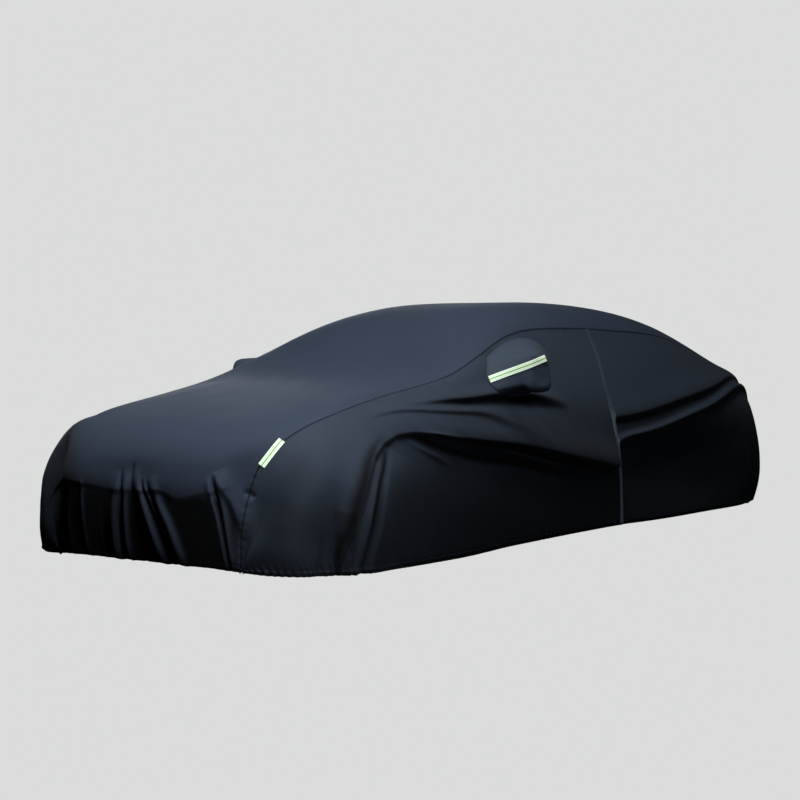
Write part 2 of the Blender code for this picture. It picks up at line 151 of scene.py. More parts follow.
def crease(name, fades, *rows):
    """A crease; the rows that give no fades of their own take these."""
    return Crease(name, tuple(row if len(row) == 5 else (*row, *fades) for row in rows))


LEFT_CREASES = (
    # the edge that comes up in front of the arch and turns back along the side
    crease("arch edge", (40, 26), (.590, 1.80, 14), (.605, 1.664, 16, 46, 26), (.644, 1.486, 20, 56, 30),
        (.734, 1.289, 25, 70, 32), (.803, 1.218, 26, 80, 32), (.922, 1.093, 22, 90, 26),
        (1.00, 1.045, 15, 100, 20), (1.10, 1.016, 10, 100, 14), (1.23, 1.020, 11, 110, 13),
        (1.40, 1.082, 17, 110, 17), (1.60, 1.148, 24, 120, 21), (1.85, 1.206, 29, 125, 25),
        (2.10, 1.246, 32, 130, 28), (2.40, 1.282, 33, 130, 32), (2.75, 1.330, 32, 125, 36),
        (3.05, 1.372, 28, 120, 40), (3.30, 1.410, 21, 115, 40)),
    crease("arch fold 1", (20, 28), (1.091, 1.048, 0, 18, 26), (1.011, 1.12, 11, 18, 26),
        (.892, 1.245, 18, 19, 28), (.793, 1.378, 21), (.724, 1.521, 20), (.674, 1.682, 16),
        (.650, 1.80, 14)),
    crease("arch fold 2", (110, 26), (1.13, 1.084, 0), (1.051, 1.182, 10), (.962, 1.307, 15),
        (.863, 1.494, 16), (.783, 1.70, 11, 110, 28), (.750, 1.80, 8, 110, 28)),
    crease("gather 1", (12, 12), (.654, 1.209, 0), (.605, 1.387, -6), (.555, 1.80, -9)),
    crease("gather 2", (12, 12), (.694, 1.37, 0, 13, 13), (.635, 1.521, -9), (.58, 1.80, -12)),
    crease("gather 3", (12, 12), (.545, 1.352, 0), (.486, 1.682, -5), (.47, 1.80, -7)),
    crease("gather 4", (9, 9), (.50, 1.56, 0), (.44, 1.80, -4, 10, 10)),
    crease("gather 5", (8, 8), (.63, 1.60, 0), (.62, 1.80, 5, 9, 9)),
    # long pulls from the arch to the door flap
    crease("lower pull", (20, 30), (1.33, 1.06, 0, 14, 16), (1.45, 1.115, 7, 15, 18),
        (1.57, 1.162, 11, 13, 20), (1.82, 1.234, 13, 14, 22), (2.12, 1.297, 12, 14, 24),
        (2.45, 1.354, 10, 16, 26), (2.77, 1.405, 6, 18, 28), (3.10, 1.45, 2), (3.25, 1.47, 0)),
    crease("pull hollow", (12, 14), (1.30, 1.07, 0), (1.438, 1.15, -5, 14, 18),
        (1.666, 1.25, -9, 16, 24), (1.943, 1.315, -10, 18, 28), (2.241, 1.362, -9, 18, 30),
        (2.548, 1.415, -6, 20, 32), (2.895, 1.465, 0, 20, 34)),
    crease("short pull", (18, 12), (1.24, 1.07, 0), (1.32, 1.14, 2), (1.40, 1.20, 3.5, 20, 13),
        (1.50, 1.26, 3, 20, 13), (1.616, 1.325, 0, 20, 14)),
    crease("upper crease", (40, 8), (1.08, .84, 0), (1.17, .845, 3, 40, 9), (1.309, .880, 5, 45, 10),
        (1.507, .958, 6, 45, 12), (1.735, 1.02, 7, 50, 16), (1.904, 1.06, 8, 55, 22),
        (2.072, 1.12, 8, 60, 32), (2.27, 1.17, 7, 60, 45), (2.57, 1.22, 0, 60, 50)),
    crease("pocket pull", (45, 26), (1.33, .835, 0, 30, 10), (1.45, .870, 4, 34, 12),
        (1.606, .906, 8, 38, 14), (1.725, .932, 11, 40, 16), (1.844, .957, 13, 42, 18),
        (1.983, .976, 14, 45, 20), (2.132, .994, 14, 45, 22), (2.33, 1.012, 14, 45, 24),
        (2.54, 1.03, 12), (2.69, 1.05, 8), (2.90, 1.07, 0, 45, 28)),
    crease("under the pocket", (20, 26), (1.45, .91, 0), (1.725, .975, -4, 24, 30),
        (2.132, 1.04, -5, 26, 34), (2.54, 1.075, -4, 28, 36), (2.85, 1.10, 0, 30, 40)),
    crease("pillar hollow", (50, 42), (2.10, .715, 0, 40, 40), (2.20, .75, -8, 45, 42), (2.31, .80, -10),
        (2.38, .84, -8), (2.45, .90, 0, 50, 40)),
    # pulls from the door flap up to the tail corner
    crease("rear upper pull", (90, 18), (3.22, 1.142, 10), (3.60, 1.136, 12, 95, 19),
        (3.84, 1.108, 14, 100, 20), (4.20, 1.060, 15, 100, 24), (4.60, .988, 16, 100, 26),
        (4.98, .890, 12, 90, 24), (5.25, .865, 4, 70, 20), (5.42, .85, 0, 60, 20)),
    crease("rear lower pull", (18, 26), (3.22, 1.34, 5), (3.351, 1.298, 7), (3.45, 1.262, 11),
        (3.579, 1.245, 14, 20, 26), (3.817, 1.218, 16, 22, 28), (4.085, 1.173, 17, 24, 28),
        (4.442, 1.111, 17, 26, 28), (5.007, .968, 13, 26, 28), (5.20, .945, 6, 28, 30),
        (5.36, .925, 0, 30, 30)),
    crease("rear skirt hollow", (160, 250), (3.40, 1.52, -10, 140, 250), (3.80, 1.46, -24),
        (4.40, 1.40, -24), (4.80, 1.34, -10, 140, 240), (5.05, 1.30, 0, 120, 220)),
    crease("tail side fold 1", (16, 16), (4.888, 1.254, 0), (5.00, 1.45, 4, 18, 18),
        (5.126, 1.655, 6, 18, 18), (5.16, 1.80, 6)),
    crease("tail side fold 2", (16, 16), (4.98, 1.20, 0), (5.10, 1.42, -5, 16, 18),
        (5.24, 1.66, -7, 16, 18), (5.28, 1.80, -7)),
    crease("tail side fold 3", (20, 14), (5.10, 1.10, 0), (5.28, 1.40, 7, 22, 14), (5.40, 1.80, 9)),
)
NOSE_CREASES = (
    # the ledge where the nose face hangs free, and the soft roll above it
    crease("nose ledge", (90, 14), (.347, -.763, 5), (.377, -.50, 9, 95, 15), (.377, -.281, 10, 100, 15),
        (.357, -.112, 8), (.357, -.004, 6), (.360, .10, 7), (.367, .228, 10, 95, 15),
        (.337, .299, 10, 95, 15), (.350, .40, 10, 95, 15), (.367, .495, 6), (.400, .60, 0, 80, 14)),
    crease("nose roll", (120, 50), (.53, -.55, 0), (.53, -.30, 3), (.53, .30, 3), (.53, .55, 0)),
    crease("nose fold a", (13, 13), (.40, -.306, 0), (.357, -.308, 6), (.20, -.318, 10),
        (-.02, -.328, 9, 14, 14)),
    crease("nose fold b", (28, 34), (.45, -.075, 0), (.36, -.078, 8), (.25, -.09, 16, 28, 35),
        (.12, -.10, 22, 28, 36), (-.02, -.112, 20, 28, 36)),
    crease("nose groove b", (9, 9), (.47, -.058, 0), (.42, -.055, -6), (.297, -.042, -11),
        (.15, -.058, -12), (-.02, -.078, -9)),
    crease("nose ridge b", (16, 14), (.46, -.03, 0, 15, 13), (.40, -.022, 7, 15, 13), (.30, -.018, 13),
        (.15, -.022, 17), (-.02, -.032, 16)),
    crease("nose groove c", (9, 9), (.50, .004, 0), (.46, .004, -6, 10, 9), (.40, .012, -7, 11, 10),
        (.30, .03, -9, 12, 12), (.15, .045, -11, 14, 14), (-.02, .06, -10, 16, 16)),
    crease("nose fold c", (20, 30), (.47, .03, 0, 18, 26), (.39, .06, 8, 19, 28), (.30, .10, 15),
        (.208, .14, 19), (.12, .175, 21), (-.02, .215, 18)),
    crease("nose groove d", (9, 9), (.42, .085, 0), (.38, .094, -5), (.218, .182, -9), (-.02, .25, -8)),
    crease("nose ridge d", (8, 11), (.43, .085, 0), (.397, .10, 4), (.218, .197, 7, 8, 12),
        (-.02, .262, 6, 8, 12)),
    crease("nose groove e", (10, 10), (.41, .115, 0), (.36, .135, -5), (.22, .215, -9),
        (-.02, .285, -8)),
    crease("nose fold e", (22, 35), (.44, .15, 0, 22, 32), (.37, .175, 8, 22, 33),
        (.30, .21, 15, 22, 34), (.218, .262, 19), (.12, .305, 21), (-.02, .345, 19)),
    crease("nose hollow f", (34, 36), (.36, .42, 0, 30, 30), (.25, .455, -5, 32, 34), (.12, .475, -8),
        (-.02, .49, -8)),
    crease("nose ridge g", (9, 13), (.45, .47, 0), (.40, .484, 7), (.228, .553, 11, 10, 14),
        (-.02, .60, 11, 10, 14)),
    crease("nose groove g", (8, 8), (.45, .49, 0), (.407, .504, -6), (.228, .572, -9), (-.02, .625, -8)),
    crease("nose fold g", (20, 12), (.43, .51, 0, 18, 12), (.377, .535, 7, 19, 12), (.188, .60, 11),
        (-.02, .642, 11)),
    crease("nose fold h", (50, 14), (.47, .49, 0, 40, 12), (.446, .504, 6, 44, 13), (.327, .597, 13),
        (.25, .655, 13), (.19, .705, 6), (.15, .75, 0, 44, 14)),
    crease("corner notch", (14, 14), (.36, .66, 0), (.357, .70, -8, 13, 13), (.34, .75, 0)),
    crease("far nose fold 1", (24, 18), (.33, -.44, 0, 22, 16), (.20, -.46, 6), (-.02, -.475, 9)),
    crease("far nose fold 2", (16, 22), (.30, -.56, 0, 16, 20), (.18, -.585, -6), (-.02, -.60, -8)),
    crease("far nose fold 3", (18, 16), (.26, -.20, 0, 16, 14), (.14, -.205, 4), (-.02, -.21, 6)),
)
TAIL_CREASES = (
    crease("tail fold 1", (40, 24), (5.28, -.29, 0, 30, 18), (5.46, -.28, -8, 34, 20), (5.70, -.25, -13),
        (5.93, -.24, -14)),
    crease("tail fold 2", (20, 28), (5.34, .05, 0), (5.52, .08, 7, 20, 30), (5.74, .12, 12, 22, 36),
        (5.93, .13, 12, 24, 38)),
    crease("tail fold 3", (34, 22), (5.24, .45, 0, 26, 20), (5.44, .42, -8, 30, 20), (5.70, .38, -13),
        (5.93, .36, -14)),
    crease("tail fold 4", (14, 18), (5.36, -.47, 0), (5.60, -.46, 7, 14, 20), (5.93, -.42, 11, 16, 24)),
    crease("tail fold 5", (12, 12), (5.40, .22, 0), (5.62, .235, -5, 12, 14), (5.93, .25, -8, 13, 15)),
    crease("tail ledge", (30, 90), (5.30, -.60, 0, 30, 80), (5.33, -.30, 6), (5.34, .10, 8),
        (5.32, .45, 6), (5.28, .66, 0, 30, 80)),
    crease("far deck sag", (120, 120), (.92, -.58, 0), (1.25, -.62, -13, 150, 150),
        (1.62, -.62, -13, 150, 150), (1.95, -.58, 0)),
)
# The right side, with across counted from the middle to the right hem.
RIGHT_CREASES = (
    crease("far arch edge", (40, 34), (.66, 1.80, 8), (.70, 1.60, 12, 52, 40), (.78, 1.38, 16, 70, 44),
        (.88, 1.22, 18, 84, 44), (.99, 1.10, 16, 95, 30), (1.10, 1.05, 11, 100, 18),
        (1.24, 1.05, 8, 100, 15), (1.50, 1.12, 13, 120, 20), (1.90, 1.20, 18, 130, 24),
        (2.50, 1.27, 18, 130, 26), (3.10, 1.36, 15, 120, 32), (3.70, 1.42, 8, 110, 40),
        (4.0, 1.44, 0, 100, 40)),
    crease("far lamp corner", (90, 90), (.80, .60, 0), (.67, .68, 15, 95, 95), (.60, .86, 14, 95, 95),
        (.54, 1.00, 7), (.48, 1.15, 0, 80, 80)),
    crease("far arch fold 1", (24, 36), (1.08, 1.10, 0, 24, 32), (.97, 1.24, 9, 24, 34), (.86, 1.45, 14),
        (.78, 1.65, 12), (.74, 1.80, 9)),
    crease("far arch fold 2", (90, 30), (1.12, 1.20, 0), (1.02, 1.36, 8), (.92, 1.58, 10),
        (.86, 1.80, 7)),
    crease("far gather 1", (12, 12), (.60, 1.40, 0), (.55, 1.60, -5), (.52, 1.80, -6)),
    crease("far gather 2", (10, 10), (.50, 1.50, 0), (.45, 1.80, -5, 11, 11)),
    crease("far gather 3", (12, 12), (.36, 1.50, 0), (.30, 1.80, 5)),
    crease("far lower pull", (18, 22), (1.30, 1.12, 0), (1.60, 1.22, 9, 22, 24),
        (2.10, 1.30, 13, 26, 28), (2.80, 1.38, 10, 30, 34), (3.50, 1.47, 0, 30, 36)),
    crease("far upper crease", (40, 14), (1.22, .88, 0), (1.46, .95, 6, 50, 18), (1.80, 1.06, 8, 56, 34),
        (2.30, 1.16, 0, 60, 46)),
    crease("far under pocket", (50, 30), (1.40, .90, 0), (1.75, .96, -8, 56, 30),
        (2.1, 1.03, -13, 60, 30), (2.5, 1.06, -9, 60, 34), (2.85, 1.08, 0, 60, 38)),
    crease("far pillar hollow", (40, 40), (2.12, .72, 0), (2.24, .77, -8, 46, 42),
        (2.34, .83, -8, 50, 42), (2.44, .90, 0, 50, 40)),
    crease("far rear pull 1", (90, 18), (3.60, 1.24, 0), (3.95, 1.17, 8, 95, 20),
        (4.35, 1.08, 11, 100, 26), (4.85, .96, 12, 90, 26), (5.25, .88, 5, 70, 22),
        (5.45, .85, 0, 60, 20)),
    crease("far rear pull 2", (30, 100), (3.75, 1.40, 0, 22, 80), (4.05, 1.28, 11, 26, 95),
        (4.50, 1.17, 14), (5.00, 1.03, 14), (5.35, .96, 0, 30, 80)),
    crease("far rear hollow", (150, 240), (3.60, 1.55, 0, 140, 240), (4.10, 1.50, -16),
        (4.60, 1.42, -14), (5.00, 1.36, 0, 120, 220)),
    crease("far middle sag", (90, 90), (2.90, 1.06, 0), (3.30, 1.10, -6, 100, 100), (3.70, 1.08, 0)),
    crease("far tail fold 1", (18, 18), (4.95, 1.28, 0), (5.10, 1.50, 5, 20, 18),
        (5.20, 1.80, 7, 18, 16)),
    crease("far tail fold 2", (16, 16), (5.08, 1.16, 0), (5.24, 1.42, -6, 16, 18), (5.36, 1.80, -8)),
)
# Painted shade: where the cloth is painted darker; the third value is how dark, in thousandths.
# Most rows are painted shade inside deep folds.  The corner, door and rear skirt shades are broad
# patches of painted shade on nearly flat cloth, which stand for how the light falls there.
PAINTED_SHADES = (
    crease("under the arch edge", (8, 8), (1.15, 1.010, 0), (1.229, 1.032, 600, 8, 9),
        (1.35, 1.080, 850, 8, 11), (1.527, 1.140, 900, 9, 14), (1.775, 1.206, 930, 10, 18),
        (2.042, 1.254, 940, 10, 20), (2.35, 1.298, 940, 11, 22), (2.657, 1.344, 920, 12, 26),
        (3.004, 1.390, 850, 14, 30), (3.25, 1.423, 700, 16, 34)),
    crease("under the lower pull", (12, 18), (1.25, 1.03, 0, 8, 10), (1.34, 1.09, 800),
        (1.438, 1.150, 930, 16, 24), (1.55, 1.205, 930, 16, 24), (1.666, 1.248, 900, 15, 22),
        (1.943, 1.310, 700, 13, 20), (2.241, 1.356, 450), (2.548, 1.408, 200), (2.895, 1.462, 0)),
    crease("inside the arch edge", (22, 30), (1.10, .990, 0, 10, 10), (1.04, 1.000, 350, 13, 16),
        (.98, 1.03, 600, 16, 22), (.898, 1.084, 800, 20, 28), (.812, 1.173, 900), (.724, 1.271, 920),
        (.662, 1.370, 920, 22, 28), (.604, 1.494, 880, 20, 26), (.568, 1.646, 800, 17, 22),
        (.55, 1.78, 650, 14, 18)),
    crease("behind arch fold 1", (14, 14), (1.13, 1.048, 0, 10, 10), (1.07, 1.058, 600),
        (1.010, 1.138, 880, 24, 24), (.950, 1.209, 930, 28, 28), (.890, 1.316, 930, 30, 28),
        (.830, 1.423, 900, 28, 26), (.760, 1.539, 850, 24, 22), (.710, 1.673, 700, 18, 18),
        (.68, 1.78, 500)),
    crease("corner shade", (120, 120), (.24, 1.00, 100), (.40, 1.00, 380, 130, 130), (.50, .98, 400),
        (.60, .93, 300, 90, 90), (.70, .88, 0, 80, 80)),
    crease("door shade", (30, 40), (1.55, 1.02, 0), (1.9, 1.08, 150, 50, 60), (2.68, 1.22, 450, 90, 80),
        (3.10, 1.30, 250, 90, 70), (3.26, 1.34, 0, 60, 60)),
    crease("gather shade 1", (7, 7), (.724, 1.36, 0), (.664, 1.459, 500), (.615, 1.557, 600),
        (.575, 1.691, 650), (.56, 1.78, 500)),
    crease("gather shade 2", (6, 6), (.664, 1.33, 0), (.595, 1.468, 450), (.555, 1.628, 550),
        (.54, 1.78, 450)),
    crease("under the pocket shade", (10, 12), (1.50, .905, 0, 8, 8), (1.735, .945, 250, 9, 10),
        (1.983, .990, 450), (2.20, 1.010, 650, 12, 16), (2.40, 1.025, 650, 12, 16),
        (2.60, 1.04, 450, 10, 14), (2.85, 1.065, 0)),
    crease("rear skirt shade", (110, 110), (3.95, 1.55, 0), (4.30, 1.52, 500, 130, 130),
        (4.80, 1.45, 560, 130, 130), (5.10, 1.40, 0)),
    crease("under the rear upper pull", (9, 12), (3.27, 1.175, 500), (3.60, 1.165, 650),
        (3.84, 1.136, 650), (4.20, 1.085, 600), (4.60, 1.012, 500, 8, 12), (4.98, .912, 300, 8, 10),
        (5.2, .88, 0, 8, 8)),
)
# The cloth between the nose folds, below the ledge, gets painted shade too.
NOSE_SHADE, NOSE_FLAT, NOSE_LEDGE = .93, .011, .350
NOSE_SHADE_ALONG, NOSE_SHADE_ACROSS = .03, .06     # it fades out over these
CREASE_POINTS = 28       # places on each crease that the cloth is measured from
MILLIMETRE = 0.001
FLAP_HOLD = 0.018        # creases of the left side fade out this near the flap
SIDE_BOOST, NOSE_BOOST = 1.7, 1.3
END_HEM_HOLD, END_HEM_REACH = .65, .045     # the elastic holds the folds at nose and tail

# --------------------------------------------------------------------- small form
# Gathers of the elastic hem, stronger near these places along the side.
Gather = namedtuple("Gather", "along reach strength")
SIDE_GATHERS = (Gather(.20, .14, 1.8), Gather(.60, .16, 2.6), Gather(2.4, .30, .5),
                Gather(4.3, .25, .7), Gather(5.45, .22, .9))
GATHER_LENGTH, END_GATHERS = 0.036, 0.55
HEM_BAND = 0.034         # height of the hem's casing
HEM_TUCK, HEM_BULGE, HEM_GROOVE = 0.010, 0.0016, 0.0006
SEAM_HALF = 0.004
PUCKER_LENGTH, PUCKER_REACH, PUCKER_HEIGHT = 0.040, 0.018, 0.0008
ROOF_PUCKER = Gather(3.02, .25, 2.2)
RIPPLES, RIPPLE_SEED = 9, 11
TOP_RIPPLE, SIDE_RIPPLE = 0.0005, 0.0012

# ----------------------------------------------------------------------- lattice
# Steps of the lattice along the cloth up to each place, and across it.
Steps = namedtuple("Steps", "until step")
FRONT_STEPS = (Steps(.060, .0045), Steps(1.30, .0062), Steps(3.24, .0095))
FLAP_STEP, FLAP_FINE = 0.0055, 0.045
REAR_STEPS = (Steps(5.05, .0095), Steps(5.86, .0075))
NOSE_EDGE = 0.004        # the side panels begin and end this far from their tips
SEAM_STEPS = (0, .002, .0045, .0075, .0115, .0165, .0225, .030, .038)
TOP_STEP, SIDE_STEP, HEM_STEP, HEM_FINE = 0.0064, 0.0062, 0.0036, 0.048
GROUP = 4                # lattice steps in the largest face's side
FLAT_ENOUGH = 0.00035    # a face may bend this much, as 1 - cos of the angle
COARSER = 1.35           # it may bend this many times more until the panel is light enough
PANEL_TRIANGLES = 186000
DEEP_ENOUGH = 0.25       # the edge of a patch of painted shade gets the smallest faces
SHARP = math.radians(60)

# ----------------------------------------------------------------- mirror pockets
Ring = namedtuple("Ring", "x y z half_length half_height tilt square lean")
POCKET_RIM = Ring(.860, -.405, .932, .365, .125, math.radians(14), 1.0, 0.0)
POCKET_EDGE = Ring(1.034, -.546, .903, .098, .098, math.radians(2), .48, .14)
POCKET_FACE = Ring(1.044, -.546, .903, .089, .088, math.radians(1), .52, .14)
POCKET_END = Ring(1.033, -.546, .903, 0.0, 0.0, 0.0, 1.0, 0.0)
POCKET_LINE, POCKET_LINE_HALF = .80, .007     # lines of painted shade at its rim and its end
LINE_FRONT, LINE_REAR = .10, .06              # and how far they take to begin
POCKET_SIDES, POCKET_ROWS = 144, 34
POCKET_ROUND = 1.6       # once round the pocket, for the weave, in metres
POCKET_OFF = 0.0022      # the rim stands this far off its side panel
RIGHT_DROP = 0.040       # the right pocket sits this much lower
REACH = 0.40             # the rim looks for its side panel from this far outside
POCKET_FROM = 1.6        # the pockets lie between here and the flap, along the cloth
RIM_COVER = 0.016        # the side panel goes on this far under the pocket's rim
RIM_INSIDE, RIM_OUTSIDE = .93, 1.12           # small faces between these, round the rim

# ------------------------------------------------------------------------- strips
Strip = namedtuple("Strip", "start end look above")
CORNER_STRIP = Strip((.650, -2.214, .508), (.690, -2.122, .622), (.60, -.75, .35), .10)
POCKET_STRIP = Strip((.845, -.731, .872), (1.048, -.520, .979), (.618, -.786, .0), .15)

# ------------------------------------------------------- flat sizes of the cloths
# A cloth's planned width, length and area, in metres and square metres.  The
# finished side panels are 9 to 10 cm wider than planned, and the panels' lengths differ
# from the planned ones by 2 to 37 cm.
Cut = namedtuple("Cut", "width length area")


# --------------------------------------------------------------------- the surface
def spline(knots, values, at):
    """Natural cubic spline through values at knots, read at each of at."""
    knots, values, at = (np.asarray(item, float) for item in (knots, values, at))
    count, gap = len(knots), np.diff(knots)
    matrix, bends = np.zeros((count, count)), np.zeros_like(values)
    matrix[0, 0] = matrix[-1, -1] = 1.0
    for i in range(1, count - 1):
        matrix[i, i - 1:i + 2] = gap[i - 1], 2 * (gap[i - 1] + gap[i]), gap[i]
        slope_after = (values[i + 1] - values[i]) / gap[i]
        slope_before = (values[i] - values[i - 1]) / gap[i - 1]
        bends[i] = 6 * (slope_after - slope_before)
    second = np.linalg.solve(matrix, bends.reshape(count, -1)).reshape(bends.shape)
    left = np.clip(np.searchsorted(knots, at, side="right") - 1, 0, count - 2)
    shape = (-1,) + (1,) * (values.ndim - 1)
    span = gap[left].reshape(shape)
    a = ((knots[left + 1] - at) / gap[left]).reshape(shape)
    b = ((at - knots[left]) / gap[left]).reshape(shape)
    curve = (a ** 3 - a) * second[left] + (b ** 3 - b) * second[left + 1]
    return a * values[left] + b * values[left + 1] + curve * span ** 2 / 6


def section_points():
    """The six named points of every section's left half, as (section, point, xyz)."""
    rows = []
    for section in SECTIONS:
        top, seam = np.array((0.0, *section.top)), np.array(section.seam)
        rail = seam + (top - seam) * RAIL_RISE
        rail[0] = seam[0] * RAIL_OUT
        rows.append((top, rail, seam, section.shoulder, section.waist, section.hem))
    return np.array(rows, float)


POINTS = section_points()
ALONG = np.append(0.0, np.cumsum(np.linalg.norm(np.diff(POINTS[:, 2], axis=0), axis=1)))
ACROSS = np.array((TOP, RAIL, SEAM, SHOULDER, WAIST, HEM))
FLAP_ALONG, END_ALONG = ALONG[FLAP_SECTION], ALONG[-1]


def smooth_surface(along, across):
    """Points of the taut cloth, for each place along and each place across."""
    left = spline(ALONG, POINTS, along)
    right = left[:, :0:-1] * (-1.0, 1.0, 1.0)
    whole = np.concatenate((right, left), axis=1)
    knots = np.concatenate((-ACROSS[:0:-1], ACROSS))
    return spline(knots, whole.transpose(1, 0, 2), across).transpose(1, 0, 2)


def unit(vectors):
    """Vectors of length one; a zero vector stays zero."""
    return vectors / np.maximum(np.linalg.norm(vectors, axis=-1, keepdims=True), TINY)


def outward(points):
    """Outward normals of a grid of points, from its neighbours on each side."""
    return unit(np.cross(np.gradient(points, axis=1), np.gradient(points, axis=0)))


def bell(distance, width):
    """1 at no distance, fading softly to 0 past the width."""
    return np.exp(-(distance / width) ** 2)


def spaced(start, stop, step):
    """Places from start to just before stop, in a multiple of GROUP steps."""
    count = GROUP * max(1, math.ceil((stop - start) / step / GROUP))
    return np.linspace(start, stop, count + 1)[:-1]


def along_lines():
    """Lattice lines along the cloth, and which of them lies under the flap."""
    parts, start = [np.array((0.0,))], NOSE_EDGE
    for steps in FRONT_STEPS:
        parts.append(spaced(start, steps.until, steps.step))
        start = steps.until
    parts.append(spaced(start, FLAP_ALONG, FLAP_STEP))
    flap = sum(map(len, parts))
    parts.append(spaced(FLAP_ALONG, FLAP_ALONG + FLAP_FINE, FLAP_STEP))
    start = FLAP_ALONG + FLAP_FINE
    for steps in REAR_STEPS:
        parts.append(spaced(start, steps.until, steps.step))
        start = steps.until
    parts.append(spaced(start, END_ALONG - NOSE_EDGE, HEM_STEP))
    parts.append(np.linspace(END_ALONG - NOSE_EDGE, END_ALONG, GROUP))
    return np.concatenate(parts), flap


def across_lines():
    """Lattice lines across the cloth from the right hem to the left one."""
    seam = np.array(SEAM_STEPS)
    side = np.concatenate((SEAM + seam[:-1], spaced(SEAM + seam[-1], HEM - HEM_FINE, SIDE_STEP),
                           spaced(HEM - HEM_FINE, HEM, HEM_STEP), (HEM,)))
    top = np.concatenate((-SEAM + seam[:-1], spaced(-SEAM + seam[-1], SEAM - seam[-1], TOP_STEP),
                          SEAM - seam[::-1]))
    return np.concatenate((-side[:0:-1], top, side[1:])), len(side) - 1, len(top) - 1


ALONG_LINES, FLAP_LINE = along_lines()
ACROSS_LINES, SIDE_COUNT, TOP_COUNT = across_lines()
RIGHT_SEAM, LEFT_SEAM = SIDE_COUNT, SIDE_COUNT + TOP_COUNT
SIDE_FIRST, SIDE_LAST = 1, len(ALONG_LINES) - GROUP


def add_crease(height, fold, across, stretch):
    """Add one crease to the heights of the lattice."""
    rows = np.array(fold.rows, float)
    rows[:, 2:] *= MILLIMETRE
    steps = np.linalg.norm(np.diff(rows[:, :2], axis=0), axis=1)
    knots = np.append(0.0, np.cumsum(steps))
    places = spline(knots, rows, np.linspace(0.0, knots[-1], CREASE_POINTS))
    reach = 3.2 * rows[:, 3:].max()
    low, high = places[:, :2].min(axis=0) - reach, places[:, :2].max(axis=0) + reach
    window = (slice(*np.searchsorted(ALONG_LINES, (low[0], high[0]))),
              slice(*np.searchsorted(across, (low[1], high[1]))))
    u, t = ALONG_LINES[window[0], None], across[None, window[1]]
    scale_u, scale_t = stretch[0][window], stretch[1][window]
    nearest = np.full(scale_u.shape, np.inf)
    found = np.zeros(scale_u.shape)
    for start, end in zip(places[:-1], places[1:]):
        run_u, run_v = (end[0] - start[0]) * scale_u, (start[1] - end[1]) * scale_t
        off_u, off_v = (u - start[0]) * scale_u, (start[1] - t) * scale_t
        part = (off_u * run_u + off_v * run_v) / np.maximum(run_u ** 2 + run_v ** 2, TINY)
        part = np.clip(part, 0.0, 1.0)
        away_u, away_v = off_u - part * run_u, off_v - part * run_v
        distance = away_u ** 2 + away_v ** 2
        rise, left, right = (start[k] + part * (end[k] - start[k]) for k in (2, 3, 4))
        width = np.where(run_u * away_v > run_v * away_u, left, right)
        value = rise * np.exp(-distance / width ** 2)
        found = np.where(distance < nearest, value, found)
        nearest = np.minimum(distance, nearest)
    height[window] += found


def ripples(points, seed):
    """Faint uneven waves, between -1 and 1, that run through the whole cloth."""
    rng = np.random.default_rng(seed)
    total = np.zeros(points.shape[:-1])
    for _ in range(RIPPLES):
        direction = unit(rng.normal(size=3))
        wave = 2 * math.pi / rng.uniform(.09, .42)
        total += np.sin(points @ direction * wave + rng.uniform(0, 2 * math.pi))
    return total / RIPPLES * 2


def uneven_wave(place, length):
    """A wave of about that length whose spacing wanders."""
    wander = 1.9 * np.sin(5.1 * place) + 1.4 * np.sin(13.7 * place + .8) + .7 * np.sin(31 * place)
    return np.sin(2 * math.pi * place / length + wander)


def strength(places, table):
    """1 plus the extra strength of each row of a table near its place."""
    return 1 + sum(row.strength * bell(places - row.along, row.reach) for row in table)


def hem_height(stretch, gather_height):
    """The rolled hem and its gathers, as heights of the lattice."""
    u, t = ALONG_LINES[:, None], ACROSS_LINES[None, :]
    from_end = np.minimum(u, END_ALONG - u) * stretch[0]
    from_hem = (HEM - np.abs(t)) * stretch[1]
    side = np.abs(t) > SEAM
    away = np.where(side, from_hem, from_end)
    roll = (HEM_BULGE * bell(away - .6 * HEM_BAND, .3 * HEM_BAND) - HEM_TUCK * bell(away, .3 * HEM_BAND)
            - HEM_GROOVE * bell(away - HEM_BAND, .12 * HEM_BAND))
    wave = np.where(side, uneven_wave(u + .37 * np.sign(t), GATHER_LENGTH),
                    uneven_wave(t + .01 * u, GATHER_LENGTH * 1.15))
    extra = np.where(side, strength(u, SIDE_GATHERS), END_GATHERS)
    return roll + gather_height * extra * wave * bell(away, 1.4 * HEM_BAND)


def seam_height(stretch, seam_depth):
    """The groove of each long seam and the puckers that its stitches draw."""
    u, t = ALONG_LINES[:, None], ACROSS_LINES[None, :]
    away = np.abs(np.abs(t) - SEAM) * stretch[1]
    pucker = PUCKER_HEIGHT * strength(u, (ROOF_PUCKER,)) * uneven_wave(u + .2 * np.sign(t), PUCKER_LENGTH)
    return pucker * bell(away, PUCKER_REACH) - seam_depth * bell(away, SEAM_HALF)


# deep is how dark the cloth is painted as shade, from 0 to 1.
Lattice = namedtuple("Lattice", "outer normals deep")


def fold_shade(ends, stretch):
    """Painted shade: how dark the cloth is painted in the deepest folds and patches and between the nose
    folds, from 0 to 1.
    """
    deep = np.zeros(ends.shape)
    for fold in PAINTED_SHADES:
        one = np.zeros(ends.shape)
        add_crease(one, fold, ACROSS_LINES, stretch)
        same_panel = (ALONG_LINES > FLAP_ALONG) == (fold.rows[-1][0] > FLAP_ALONG)
        deep = np.maximum(deep, one * same_panel[:, None])
    below = np.clip((NOSE_LEDGE - ALONG_LINES) / NOSE_SHADE_ALONG, 0, 1)[:, None]
    middle = np.clip((SEAM - np.abs(ACROSS_LINES)) / NOSE_SHADE_ACROSS, 0, 1)[None]
    flats = 1 - np.clip(ends / NOSE_FLAT, 0, 1)
    return np.maximum(deep, NOSE_SHADE * below * middle * flats)


